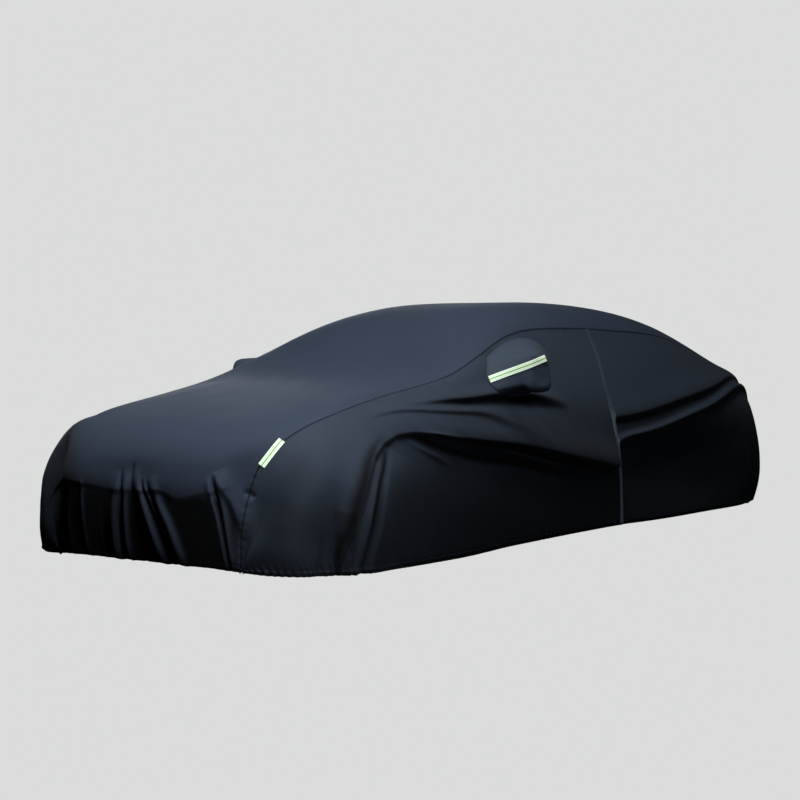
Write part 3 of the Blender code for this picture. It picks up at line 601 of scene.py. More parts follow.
@lru_cache(maxsize=1)
def make_lattice(seam_depth, gather_height):
    """Outer points of the whole cloth with all its creases, their normals, and its painted shade."""
    taut = smooth_surface(ALONG_LINES, ACROSS_LINES)
    normals = outward(taut)
    stretch = (np.linalg.norm(np.gradient(taut, ALONG_LINES, axis=0), axis=2),
               np.linalg.norm(np.gradient(taut, ACROSS_LINES, axis=1), axis=2))
    left, right = np.zeros(taut.shape[:2]), np.zeros(taut.shape[:2])
    for fold in LEFT_CREASES:
        cloth = np.zeros(taut.shape[:2])
        add_crease(cloth, fold, ACROSS_LINES, stretch)
        behind = fold.rows[-1][0] > FLAP_ALONG + FLAP_HOLD * 10
        left += cloth * ((ALONG_LINES > FLAP_ALONG) == behind)[:, None]
    left *= SIDE_BOOST * (1 - bell(ALONG_LINES - FLAP_ALONG, FLAP_HOLD)[:, None])
    for fold in RIGHT_CREASES:
        add_crease(right, fold, ACROSS_LINES, stretch)
    ends = np.zeros(taut.shape[:2])
    for fold in NOSE_CREASES + TAIL_CREASES:
        add_crease(ends, fold, ACROSS_LINES, stretch)
    from_end = np.minimum(ALONG_LINES, END_ALONG - ALONG_LINES)
    ends *= 1 - END_HEM_HOLD * bell(from_end, END_HEM_REACH)[:, None]
    height = left + SIDE_BOOST * right[:, ::-1] + NOSE_BOOST * ends
    side = np.clip((np.abs(ACROSS_LINES) - SEAM) / .1, 0, 1)[None]
    height += ripples(taut, RIPPLE_SEED) * (TOP_RIPPLE + (SIDE_RIPPLE - TOP_RIPPLE) * side)
    height += hem_height(stretch, gather_height) + seam_height(stretch, seam_depth)
    outer = taut + normals * (height + CLOTH)[..., None]
    return Lattice(outer, outward(outer), fold_shade(ends, stretch))


def lattice_of(sizes):
    """The lattice for the sizes in the panel."""
    return make_lattice(round(sizes.seam_depth, 6), round(sizes.gather_height, 6))


def on_cloth(lattice, along, across, lift=0.0):
    """Points and normals of the cloth's outer face at places along and across it."""
    row = np.interp(along, ALONG_LINES, np.arange(len(ALONG_LINES)))
    column = np.interp(across, ACROSS_LINES, np.arange(len(ACROSS_LINES)))
    row, column = np.broadcast_arrays(row, column)
    i = np.minimum(row.astype(int), len(ALONG_LINES) - 2)
    j = np.minimum(column.astype(int), len(ACROSS_LINES) - 2)
    a, b = (row - i)[..., None], (column - j)[..., None]

    def read(grid):
        """A grid's values at those places, from the four lattice points round each."""
        near = grid[i, j] * (1 - b) + grid[i, j + 1] * b
        return near * (1 - a) + (grid[i + 1, j] * (1 - b) + grid[i + 1, j + 1] * b) * a

    normals = unit(read(lattice.normals))
    return read(lattice.outer) + normals * lift, normals


# -------------------------------------------------------------------- mesh helpers
def bend_of(normals, size):
    """How much each block of size x size steps bends, as 1 - cos of the angle."""
    rows, columns = normals.shape[0] - 1, normals.shape[1] - 1
    corners = [normals[a:rows + 1 - size + a:size, b:columns + 1 - size + b:size]
               for a in range(size + 1) for b in range(size + 1)]
    middle = unit(sum(corners))
    return np.max([1 - (corner * middle).sum(axis=2) for corner in corners], axis=0)


def blocks(normals, flat, fine):
    """Blocks that cover the lattice, large where it is flat: (size, chosen) pairs."""
    open_blocks = np.ones(((normals.shape[0] - 1) // GROUP, (normals.shape[1] - 1) // GROUP), bool)
    chosen, size = [], GROUP
    while size > 1:
        near = fine.reshape(open_blocks.shape[0], size, open_blocks.shape[1], size).any(axis=(1, 3))
        keep = open_blocks & (bend_of(normals, size) < flat) & ~near
        chosen.append((size, keep))
        open_blocks = np.repeat(np.repeat(open_blocks & ~keep, 2, axis=0), 2, axis=1)
        size //= 2
    chosen.append((1, open_blocks))
    return chosen


def ring_of(row, column, size):
    """Lattice places round a block, in outward order."""
    steps = range(size)
    return ([(row, column + k) for k in steps] + [(row + k, column + size) for k in steps]
            + [(row + size, column + size - k) for k in steps]
            + [(row + size - k, column) for k in steps])


def block_faces(chosen, hole, shape):
    """Faces of the blocks, with the corners of their neighbours, and which places they use."""
    used, squares = np.zeros(shape, bool), []
    for size, keep in chosen:
        for row, column in zip(*np.nonzero(keep)):
            row, column = int(row) * size, int(column) * size
            if not hole[row:row + size, column:column + size].all():
                squares.append((row, column, size))
                used[row:row + size + 1:size, column:column + size + 1:size] = True
    numbers = np.cumsum(used.ravel()).reshape(shape) - 1
    faces = [[int(numbers[place]) for place in ring_of(*square) if used[place]] for square in squares]
    return faces, used


def new_object(name, mesh, material):
    """An object at the origin, in the scene."""
    mesh.materials.clear()
    mesh.materials.append(material)
    made = bpy.data.objects.new(name, mesh)
    bpy.context.scene.collection.objects.link(made)
    return made


def plain(holder, name):
    """The evaluated mesh of an object as a new mesh; the object is removed."""
    bpy.context.view_layer.update()
    evaluated = holder.evaluated_get(bpy.context.evaluated_depsgraph_get())
    mesh = bpy.data.meshes.new_from_object(evaluated)
    mesh.name = name
    old = holder.data
    bpy.data.objects.remove(holder, do_unlink=True)
    bpy.data.meshes.remove(old)
    return mesh


def give_places(mesh, places):
    """A UV map that holds each corner's place on the cloth, in metres."""
    corners = np.zeros(len(mesh.loops), int)
    mesh.loops.foreach_get("vertex_index", corners)
    layer = mesh.uv_layers.new(name="cloth_place")
    layer.uv.foreach_set("vector", places[corners].astype(np.float32).ravel())


def give_shade(mesh, deep):
    """The painted shade of the cloth's material at each corner: how dark it is painted, from 0 to 1."""
    layer = mesh.attributes.new("deep_fold", "FLOAT", "POINT")
    layer.data.foreach_set("value", deep.astype(np.float32).ravel())


def thickened(name, mesh, thickness, material):
    """A sheet thickened inwards, smooth but for its cut edges."""
    holder = new_object(name + "_holder", mesh, material)
    modifier = holder.modifiers.new("Thickness", "SOLIDIFY")
    modifier.thickness = thickness
    modifier.offset = -1.0
    made = plain(holder, name)
    made.shade_smooth()
    made.set_sharp_from_angle(angle=SHARP)
    return new_object(name, made, material)


def grid_faces(points):
    """The quads of a grid of points."""
    rows, columns = points.shape[:2]
    return [(first, first + 1, first + columns + 1, first + columns)
            for row in range(rows - 1) for first in range(row * columns, (row + 1) * columns - 1)]


def grid_mesh(name, points, places, closed=False, deep=None):
    """A mesh of quads on a grid of points; closed turns a bag's faces outwards."""
    mesh = bpy.data.meshes.new(name)
    mesh.from_pydata(points.reshape(-1, 3).tolist(), [], grid_faces(points))
    give_places(mesh, places.reshape(-1, 2))
    if deep is not None:
        give_shade(mesh, deep)
    bm = bmesh.new()
    bm.from_mesh(mesh)
    bmesh.ops.remove_doubles(bm, verts=bm.verts, dist=1e-6)
    if closed:
        bmesh.ops.recalc_face_normals(bm, faces=bm.faces)
    bm.to_mesh(mesh)
    bm.free()
    return mesh


def tree_of(points):
    """Search tree over a grid of points."""
    return BVHTree.FromPolygons([Vector(point) for point in points.reshape(-1, 3)], grid_faces(points))


def finish_piece(piece, node):
    """Tie a finished piece to the frame."""
    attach(piece, "root")
    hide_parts(node)


# ----------------------------------------------------------------------- materials
def fill(tree, node, inputs):
    """Set a node's inputs to plain values, or join them to sockets."""
    for key, value in inputs.items():
        if isinstance(value, bpy.types.NodeSocket):
            tree.links.new(value, node.inputs[key])
        else:
            node.inputs[key].default_value = value


def add_node(tree, kind, inputs=None, **settings):
    """A new node with its settings and inputs."""
    node = tree.nodes.new(kind)
    for key, value in settings.items():
        setattr(node, key, value)
    fill(tree, node, inputs or {})
    return node


def math_node(tree, operation, *values):
    """A Math node's output; each input is a socket or a number."""
    return add_node(tree, "ShaderNodeMath", dict(enumerate(values)), operation=operation).outputs[0]


def product(tree, *values):
    """All the values multiplied, from the first to the last."""
    return reduce(lambda so_far, value: math_node(tree, "MULTIPLY", so_far, value), values)


def parts_of(tree, vector):
    """The x, y and z of a vector's socket."""
    return add_node(tree, "ShaderNodeSeparateXYZ", {0: vector}).outputs


def noise(tree, source, scale, detail=3.0, rough=0.5):
    """A Noise texture's value at a coordinate."""
    inputs = {"Vector": source, "Scale": scale, "Detail": detail, "Roughness": rough}
    return add_node(tree, "ShaderNodeTexNoise", inputs).outputs["Fac"]


def ranged(tree, source, low, high, start=0.0, end=1.0):
    """Map a value from low..high to start..end."""
    inputs = {"Value": source, "From Min": low, "From Max": high, "To Min": start, "To Max": end}
    return add_node(tree, "ShaderNodeMapRange", inputs).outputs["Result"]


def noisy(tree, spots, scale, detail, start, end):
    """Noise spread over start..end."""
    return ranged(tree, noise(tree, spots, scale, detail), *NOISE_RANGE, start, end)


def scaled_colour(tree, colour, factor):
    """A colour, plain or from a socket, times a grey factor."""
    inputs = {0: colour, "Scale": factor}
    return add_node(tree, "ShaderNodeVectorMath", inputs, operation="SCALE").outputs["Vector"]


def bump(tree, height, distance, strength_value, before=None):
    """A Bump node on top of an earlier one."""
    inputs = {"Height": height, "Distance": distance, "Strength": strength_value}
    if before:
        inputs["Normal"] = before
    return add_node(tree, "ShaderNodeBump", inputs).outputs["Normal"]


def new_material(name, colour):
    """A material with its plain colour, its node tree and its main shader."""
    made = bpy.data.materials.new(name)
    made.use_nodes = True
    made.diffuse_color = (*colour, 1.0)
    return made, made.node_tree, made.node_tree.nodes["Principled BSDF"]


NOISE_RANGE = (.3, .7)   # most of a noise's values lie here
WEAVE_PITCH = 0.0012
SHEEN_ROUGHNESS = 0.5
SEAM_SHADE, CASING_SHADE = .30, .55    # how much of its colour the cloth keeps under painted shade at a seam and on the hem's casing
SEAM_DARK = (.0015, .0065)           # a seam's line of painted shade fades out between these
# The tape's glow is painted light, for the shine of reflective tape.
PAINTED_TAPE_GLOW, TAPE_EDGE = 0.55, (.80, .90, .76, 1.0)
# A weave's last value is painted shade and painted light by facing: it darkens the cloth that
# doesn't face up, by this part of its colour where it faces down, as shade would; below 0 it
# paints light onto that cloth instead.  Facing is the normal's height.
Weave = namedtuple("Weave", "roughness sheen specular grain crumple fade")
FACES_DOWN, FACES_UP = -.15, .45
# The top and sides get painted shade, down to .3 and .4 of their colour facing down; the flap and pockets
# get painted light, up to 5.6 and 1.7 times their colour.
WEAVES = {
    "top": Weave(.72, .05, .14, .10, .0016, .7),
    "side": Weave(.68, .05, .16, .10, .0020, .6),
    "flap": Weave(.70, .05, .16, .10, .0008, -4.6),
    "pocket": Weave(.70, .05, .16, .10, .0010, -.7),
}


def weave_height(tree, place):
    """Over and under of a plain weave, from places on the cloth in metres."""
    turns = math.pi / WEAVE_PITCH
    parts = parts_of(tree, place)
    return product(tree, *(math_node(tree, "SINE", math_node(tree, "MULTIPLY", parts[axis], turns))
                           for axis in (0, 1)))


def sewn_shade(tree, place):
    """Painted shade along the long seams and on the hem's casing, as a factor."""
    parts = parts_of(tree, place)
    across = math_node(tree, "ABSOLUTE", parts[1])
    from_seam = math_node(tree, "ABSOLUTE", math_node(tree, "SUBTRACT", across, SEAM))
    seam = ranged(tree, from_seam, *SEAM_DARK, SEAM_SHADE, 1.0)
    side_hem = ranged(tree, across, HEM - 1.25 * HEM_BAND, HEM - HEM_BAND, 1.0, CASING_SHADE)
    nose_hem = ranged(tree, parts[0], HEM_BAND, 1.3 * HEM_BAND, CASING_SHADE, 1.0)
    return product(tree, seam, product(tree, side_hem, nose_hem))


def cloth_material(name, colour, weave, sewn):
    """Woven polyester: fine weave, faint crumples, and painted shade and light by facing, folds and seams.
    """
    made, tree, shader = new_material(name, colour)
    spots = tree.nodes.new("ShaderNodeTexCoord").outputs["Object"]
    place = add_node(tree, "ShaderNodeUVMap", uv_map="cloth_place").outputs["UV"]
    normal = tree.nodes.new("ShaderNodeNewGeometry").outputs["Normal"]
    shade = add_node(tree, "ShaderNodeAttribute", attribute_name="deep_fold").outputs["Fac"]
    factors = [noisy(tree, spots, 420, 2.0, 1 - weave.grain, 1 + weave.grain),
               noisy(tree, spots, 2.1, 4.0, .95, 1.05),
               # painted shade and painted light by which way the cloth faces
               ranged(tree, parts_of(tree, normal)[2], FACES_DOWN, FACES_UP, 1.0 - weave.fade, 1.0),
               # painted shade of the folds, patches and nose flats
               ranged(tree, shade, 0.0, 1.0, 1.0, 0.0)]
    # painted shade along the seams and on the hem's casing
    if sewn:
        factors.append(sewn_shade(tree, place))
    woven = bump(tree, weave_height(tree, place), .00012, .35)
    crumples = noise(tree, spots, 11.0, 4.0, .55)
    fill(tree, shader, {
        "Base Color": scaled_colour(tree, colour, product(tree, *factors)),
        "Roughness": noisy(tree, spots, 6.0, 3.0, weave.roughness - .04, weave.roughness + .05),
        "Specular IOR Level": weave.specular,
        "Sheen Weight": weave.sheen,
        "Sheen Roughness": SHEEN_ROUGHNESS,
        "Normal": bump(tree, crumples, weave.crumple, .8, woven)})
    return made


def tape_material(name, colour):
    """Reflective tape: pale, with a little glow of painted light for its shine, whiter edges and a fine
    lattice.
    """
    made, tree, shader = new_material(name, colour)
    place = add_node(tree, "ShaderNodeUVMap", uv_map="cloth_place").outputs["UV"]
    out = math_node(tree, "ABSOLUTE", parts_of(tree, place)[1])
    edge = ranged(tree, out, .55 * STRIP_HALF, .80 * STRIP_HALF)
    lines = product(tree, ranged(tree, out, .0013, .0024, .10, 1.0),
                    ranged(tree, out, .90 * STRIP_HALF, .96 * STRIP_HALF, 1.0, .10))
    mix = add_node(tree, "ShaderNodeMix", data_type="RGBA")
    fill(tree, mix, {0: edge, 6: (*colour, 1.0), 7: TAPE_EDGE})
    shown = scaled_colour(tree, mix.outputs[2], lines)
    cells = add_node(tree, "ShaderNodeTexVoronoi", {"Vector": place, "Scale": 320}).outputs["Distance"]
    fill(tree, shader, {"Base Color": shown, "Emission Color": shown, "Emission Strength": PAINTED_TAPE_GLOW,
                        "Roughness": ranged(tree, cells, 0, .6, .28, .42),
                        "Normal": bump(tree, cells, .0002, .5)})
    return made


def thread_material(name, colour, roughness=.55):
    """Twisted thread or knitted elastic, a little lighter on its turns."""
    made, tree, shader = new_material(name, colour)
    spots = tree.nodes.new("ShaderNodeTexCoord").outputs["Object"]
    turns = noisy(tree, spots, 900, 2.0, .75, 1.25)
    fill(tree, shader, {"Base Color": scaled_colour(tree, colour, turns), "Roughness": roughness,
                        "Sheen Weight": .1, "Normal": bump(tree, turns, .0002, .4)})
    return made


def one_material(make, name, *values):
    """The material of that name, made the first time that it is asked for."""
    return bpy.data.materials.get(name) or make(name, *values)


def cloth_of(kind, finish):
    """The cloth material of one kind of piece."""
    colour, sewn = tuple(getattr(finish, kind + "_colour")), kind in ("top", "side")
    return one_material(cloth_material, kind + "_polyester", colour, WEAVES[kind], sewn)


# -------------------------------------------------------------------------- panels
def rim_reach(points, side):
    """How far points lie from the pocket rim's middle, as a part of its size."""
    ring = POCKET_RIM
    drop = 0.0 if side > 0 else RIGHT_DROP
    y, z = points[..., 1] - ring.y, points[..., 2] - (ring.z - drop)
    along = y * math.cos(ring.tilt) + z * math.sin(ring.tilt)
    up = z * math.cos(ring.tilt) - y * math.sin(ring.tilt)
    length, height = ring.half_length - RIM_COVER, ring.half_height - RIM_COVER
    on_side = points[..., 0] * side > .5
    return np.where(on_side, np.hypot(along / length, up / height), 9.0)


def panel(name, lattice, rows, columns, sizes, material, pocket_side=0):
    """One cloth cut from the lattice, with smaller faces where it bends."""
    outer, normals = lattice.outer[rows, columns], lattice.normals[rows, columns]
    shape = outer.shape[:2]
    # Where the painted shade is dark, the edge of that patch gets the smallest faces.
    deep = lattice.deep[rows, columns] > DEEP_ENOUGH
    fine, hole = np.zeros((2, shape[0] - 1, shape[1] - 1), bool)
    if pocket_side:
        reach = rim_reach(outer, pocket_side)
        corners = np.stack((reach[:-1, :-1], reach[1:, :-1], reach[:-1, 1:], reach[1:, 1:]))
        hole = (corners < 1.0).all(axis=0)
        fine = (corners.max(axis=0) > RIM_INSIDE) & (corners.min(axis=0) < RIM_OUTSIDE)
    fine |= deep[1:, 1:] & ~deep[:-1, :-1]
    flat = FLAT_ENOUGH
    while True:
        faces, used = block_faces(blocks(normals, flat, fine), hole, shape)
        if 2 * sum(len(face) - 2 for face in faces) < PANEL_TRIANGLES:
            break
        flat *= COARSER
    places = np.stack(np.broadcast_arrays(ALONG_LINES[rows, None], ACROSS_LINES[None, columns]), axis=2)
    mesh = bpy.data.meshes.new(name)
    mesh.from_pydata(outer[used].tolist(), [], faces)
    give_places(mesh, places[used])
    give_shade(mesh, lattice.deep[rows, columns][used])
    return thickened(name, mesh, sizes.cloth_thickness, material)


def make_top_panel(sizes, finish):
    """The cloth between the two long seams, from nose hem to tail hem."""
    piece = panel("top_panel_cloth", lattice_of(sizes), slice(None), slice(RIGHT_SEAM, LEFT_SEAM + 1),
                  sizes, cloth_of("top", finish))
    finish_piece(piece, "top_panel")
    return piece


def make_left_panels(sizes, finish):
    """The left side in two cloths, which meet under the door flap."""
    lattice, material = lattice_of(sizes), cloth_of("side", finish)
    columns = slice(LEFT_SEAM, None)
    front = panel("side_left_front_cloth", lattice, slice(SIDE_FIRST, FLAP_LINE + 1), columns, sizes,
                  material, 1)
    rear = panel("side_left_rear_cloth", lattice, slice(FLAP_LINE, SIDE_LAST + 1), columns, sizes,
                 material)
    finish_piece(front, "side_left_front")
    finish_piece(rear, "side_left_rear")


def make_right_panel(sizes, finish):
    """The right side in one cloth."""
    piece = panel("side_right_cloth", lattice_of(sizes), slice(SIDE_FIRST, SIDE_LAST + 1),
                  slice(0, RIGHT_SEAM + 1), sizes, cloth_of("side", finish), -1)
    finish_piece(piece, "side_right")


FLAP_ROWS, FLAP_COLUMNS = 200, 13
FLAP_LIFT, FLAP_CROWN = 0.0022, 0.0035


def make_door_flap(sizes, finish):
    """The band that covers the door zip, a little crowned between its sewn edges."""
    lattice = lattice_of(sizes)
    down = np.linspace(SEAM + FLAP_END_GAP, HEM - FLAP_END_GAP, FLAP_ROWS)
    out = np.linspace(-1.0, 1.0, FLAP_COLUMNS)
    along, across = np.meshgrid(FLAP_ALONG + out * FLAP_HALF, down)
    crown = FLAP_LIFT + sizes.cloth_thickness + FLAP_CROWN * np.cos(out * math.pi / 2) ** .6
    base, normals = on_cloth(lattice, along, across)
    wander = .0008 * np.sin(down * 23)[:, None] * np.cos(out * math.pi / 2)
    points = base + normals * (crown + wander)[..., None]
    places = np.stack((out[None] * FLAP_HALF + 0 * across, across), axis=2)
    mesh = grid_mesh("door_flap_cloth", points[:, ::-1], places[:, ::-1])
    piece = thickened("door_flap_cloth", mesh, sizes.cloth_thickness, cloth_of("flap", finish))
    finish_piece(piece, "door_flap")


# ------------------------------------------------------------------------- pockets
def ring_points(ring, side, grow=0.0):
    """Corners of a ring, which stands parallel to the cover's side."""
    turns = np.arange(POCKET_SIDES) * 2 * math.pi / POCKET_SIDES
    across, up = (np.sign(part) * np.abs(part) ** ring.square
                  for part in (np.cos(turns), np.sin(turns)))
    length, height = (ring.half_length + grow) * across, (ring.half_height + grow) * up
    y = ring.y + length * math.cos(ring.tilt) - height * math.sin(ring.tilt)
    z = ring.z + length * math.sin(ring.tilt) + height * math.cos(ring.tilt)
    drop = 0.0 if side > 0 else RIGHT_DROP
    x = ring.x - ring.lean * (height + ring.half_height)
    return np.stack((side * x, y, z - drop), axis=1)


def side_tree(lattice, side):
    """Search tree over one side's outer cloth, around its pocket."""
    columns = slice(LEFT_SEAM, None) if side > 0 else slice(0, RIGHT_SEAM + 1)
    rows = slice(*np.searchsorted(ALONG_LINES, (POCKET_FROM, FLAP_ALONG)))
    return tree_of(lattice.outer[rows, columns])


TENT_SHARES = (0.0, .04, .35, .70, .93, 1.0)
TENT_SAG = (0.0, .002, .011, .009, 0.0, 0.0)


@lru_cache(maxsize=2)
def pocket_grid(seam_depth, gather_height, side):
    """Rings of the pocket's outer face from its sewn rim to its rounded end."""
    tree = side_tree(make_lattice(seam_depth, gather_height), side)
    rim = ring_points(POCKET_RIM, side)
    for corner in rim:
        hit = tree.ray_cast(Vector(corner + (side * REACH, 0, 0)), Vector((-side, 0, 0)))[0]
        corner[0] = hit.x + side * POCKET_OFF
    edge = ring_points(POCKET_EDGE, side)
    centre = (rim.mean(axis=0) + edge.mean(axis=0)) / 2
    rings = []
    for share, sag in zip(TENT_SHARES, TENT_SAG):
        ring = rim + (edge - rim) * share
        inward = unit((centre - ring) * (0.0, 1.0, 1.0)) * sag
        rings.append(ring + inward - (side * sag * .4, 0, 0))
    face, end = ring_points(POCKET_FACE, side), ring_points(POCKET_END, side)
    rings += [face, face * .45 + end * .55 + (side * .0035, 0, 0), end + (side * .0042, 0, 0)]
    rings = np.array(rings)
    knots = np.append(0.0, np.cumsum(np.linalg.norm(np.diff(rings, axis=0), axis=2).mean(axis=1)))
    rows = spline(knots, rings, np.linspace(0.0, knots[-1], POCKET_ROWS))
    return np.concatenate((rows, rows[:, :1]), axis=1)


def pocket_of(sizes, side):
    """The pocket's grid for the sizes in the panel."""
    return pocket_grid(round(sizes.seam_depth, 6), round(sizes.gather_height, 6), side)


def make_pocket(sizes, finish, side, word):
    """One mirror pocket, sewn round its rim into the opening of its side panel."""
    points = pocket_of(sizes, side)
    down = np.linalg.norm(np.diff(points, axis=0), axis=2).cumsum(axis=0)
    down = np.concatenate((np.zeros((1, points.shape[1])), down))
    turn = np.linspace(0.0, POCKET_ROUND, points.shape[1])[None] + 0 * down
    # Painted shade: a dark line along the rim's seam at the front and along the end's edge at the back.
    gap = np.linalg.norm(points[:, :-1] - ring_points(POCKET_EDGE, side), axis=2).mean(axis=1)
    front = np.clip((POCKET_EDGE.y + LINE_FRONT - points[..., 1]) / LINE_FRONT, 0, 1)
    rear = np.clip((points[..., 1] - POCKET_EDGE.y) / LINE_REAR, 0, 1)
    at_rim, at_end = bell(down, POCKET_LINE_HALF), bell(gap, POCKET_LINE_HALF)[:, None]
    line = POCKET_LINE * (at_rim * front + at_end * rear)
    mesh = grid_mesh("mirror_pocket_" + word, points, np.stack((down, turn), axis=2), True, line)
    name = f"mirror_pocket_{word}_cloth"
    piece = thickened(name, mesh, sizes.cloth_thickness, cloth_of("pocket", finish))
    finish_piece(piece, "mirror_pocket_" + word)


def make_pockets(sizes, finish):
    """Both mirror pockets."""
    for side, word in ((1, "left"), (-1, "right")):
        make_pocket(sizes, finish, side, word)


# -------------------------------------------------------------------------- strips
STRIP_ROWS, STRIP_COLUMNS = 49, 11
STRIP_LIFT, TAPE = 0.0026, 0.0009
EVEN_ALONG, EVEN_ACROSS = 5, 2       # a strip is evened over this many rows and columns
CORNER_ROWS = (.25, 1.1)             # the corner strip lies between these, along the cloth


def strip_points(strip, trees):
    """A ribbon along the strip, laid onto the first cloth that it meets."""
    start, end, look = np.array(strip.start), np.array(strip.end), unit(np.array(strip.look))
    along = unit(end - start)
    sideways = unit(np.cross(look, along))
    shares = np.linspace(0.0, 1.0, STRIP_ROWS)[:, None, None]
    out = np.linspace(-STRIP_HALF, STRIP_HALF, STRIP_COLUMNS)[None, :, None]
    points = start + (end - start) * shares + sideways * out
    depth = np.zeros(points.shape[:2])
    for row in range(STRIP_ROWS):
        for column in range(STRIP_COLUMNS):
            ray = Vector(points[row, column] + look * strip.above)
            hits = [tree.ray_cast(ray, Vector(-look)) for tree in trees]
            reaches = [hit[3] for hit in hits if hit[0] is not None]
            depth[row, column] = min(reaches) if reaches else np.nan
    for column in range(STRIP_COLUMNS):
        known = ~np.isnan(depth[:, column])
        depth[:, column] = np.interp(np.arange(STRIP_ROWS), np.arange(STRIP_ROWS)[known],
                                     depth[known, column])
    padded = np.pad(depth, ((EVEN_ALONG, EVEN_ALONG), (EVEN_ACROSS, EVEN_ACROSS)), mode="edge")
    shares_taken = [padded[down:down + STRIP_ROWS, aside:aside + STRIP_COLUMNS]
                    for down in range(2 * EVEN_ALONG + 1) for aside in (0, EVEN_ACROSS, 2 * EVEN_ACROSS)]
    smooth = np.minimum(sum(shares_taken) / len(shares_taken), depth)
    points = points + look * (strip.above + STRIP_LIFT - smooth)[..., None]
    places = np.stack(np.broadcast_arrays(shares[..., 0] * np.linalg.norm(end - start), out[..., 0]), axis=2)
    return points, places, look


def strip_sets(sizes):
    """Name, points, places and look of every reflective strip."""
    lattice = lattice_of(sizes)
    rows = slice(*np.searchsorted(ALONG_LINES, CORNER_ROWS))
    nose = tree_of(lattice.outer[rows])
    trees = (side_tree(lattice, 1), tree_of(pocket_of(sizes, 1)))
    return (("corner_strip_left", *strip_points(CORNER_STRIP, (nose,))),
            ("pocket_strip_left", *strip_points(POCKET_STRIP, trees)))


def make_strips(sizes, finish):
    """Reflective strips on the left nose corner and the left mirror pocket."""
    material = one_material(tape_material, "strip_tape", tuple(finish.tape_colour))
    for name, points, places, look in strip_sets(sizes):
        if np.cross(points[0, 1] - points[0, 0], points[1, 0] - points[0, 0]) @ look < 0:
            points, places = points[:, ::-1], places[:, ::-1]
        piece = thickened(name + "_tape", grid_mesh(name, points, places), TAPE, material)
        finish_piece(piece, name)


# ----------------------------------------------------------------------- stitching
def path_mesh(name, paths):
    """A mesh of open or closed paths, with the outward direction at every point."""
    points, outs, edges = [], [], []
    for path, out, closed in paths:
        first = len(points)
        points += path.tolist()
        outs += out.tolist()
        edges += [(first + k, first + k + 1) for k in range(len(path) - 1)]
        if closed:
            edges.append((first + len(path) - 1, first))
    mesh = bpy.data.meshes.new(name)
    mesh.from_pydata(points, edges, [])
    layer = mesh.attributes.new("out", "FLOAT_VECTOR", "POINT")
    layer.data.foreach_set("vector", np.array(outs, np.float32).ravel())
    return mesh


def new_tree(name, sizes):
    """A geometry tree with named float inputs, what it is given and its end."""
    tree = bpy.data.node_groups.new(name, "GeometryNodeTree")
    tree.interface.new_socket("Geometry", in_out="INPUT", socket_type="NodeSocketGeometry")
    for label in sizes:
        tree.interface.new_socket(label, in_out="INPUT", socket_type="NodeSocketFloat")
    tree.interface.new_socket("Material", in_out="INPUT", socket_type="NodeSocketMaterial")
    tree.interface.new_socket("Geometry", in_out="OUTPUT", socket_type="NodeSocketGeometry")
    return tree, tree.nodes.new("NodeGroupInput").outputs, tree.nodes.new("NodeGroupOutput")


def path_of(tree, given, step):
    """The given paths with points a step apart."""
    path = add_node(tree, "GeometryNodeMeshToCurve", {"Mesh": given["Geometry"]}).outputs["Curve"]
    spread = add_node(tree, "GeometryNodeResampleCurve", mode="LENGTH")
    fill(tree, spread, {"Curve": path, "Length": given[step]})
    return spread.outputs["Curve"]


def send_out(tree, given, end, shape):
    """Make a tree's shape a real mesh in the given material and send it out."""
    real = add_node(tree, "GeometryNodeRealizeInstances", {"Geometry": shape}).outputs["Geometry"]
    paint = add_node(tree, "GeometryNodeSetMaterial", {"Geometry": real, "Material": given["Material"]})
    fill(tree, end, {"Geometry": paint.outputs["Geometry"]})
    return tree


def stitch_tree():
    """Stitches of thread laid end to end along a path."""
    tree, given, end = new_tree("stitch_line", ("Pitch", "Length", "Width"))
    thread = add_node(tree, "GeometryNodeMeshCylinder", {"Vertices": 6, "Radius": 0.5, "Depth": 1.0})
    size = add_node(tree, "ShaderNodeCombineXYZ", {0: given["Width"], 1: given["Width"], 2: given["Length"]})
    tangent = tree.nodes.new("GeometryNodeInputTangent").outputs[0]
    out = add_node(tree, "GeometryNodeInputNamedAttribute", {"Name": "out"}, data_type="FLOAT_VECTOR")
    lie = add_node(tree, "FunctionNodeAlignRotationToVector", {"Vector": tangent}, axis="Z")
    roll = add_node(tree, "FunctionNodeAlignRotationToVector", axis="X", pivot_axis="Z")
    fill(tree, roll, {"Rotation": lie.outputs[0], "Vector": out.outputs[0]})
    place = add_node(tree, "GeometryNodeInstanceOnPoints", {
        "Points": path_of(tree, given, "Pitch"), "Instance": thread.outputs["Mesh"],
        "Rotation": roll.outputs[0], "Scale": size.outputs[0]})
    return send_out(tree, given, end, place.outputs["Instances"])


GATHER_TURN = 0.021      # length of one gather of the hem's edge
GATHER_WANDER = (17.0, 2.0)     # how often and how far its spacing wanders


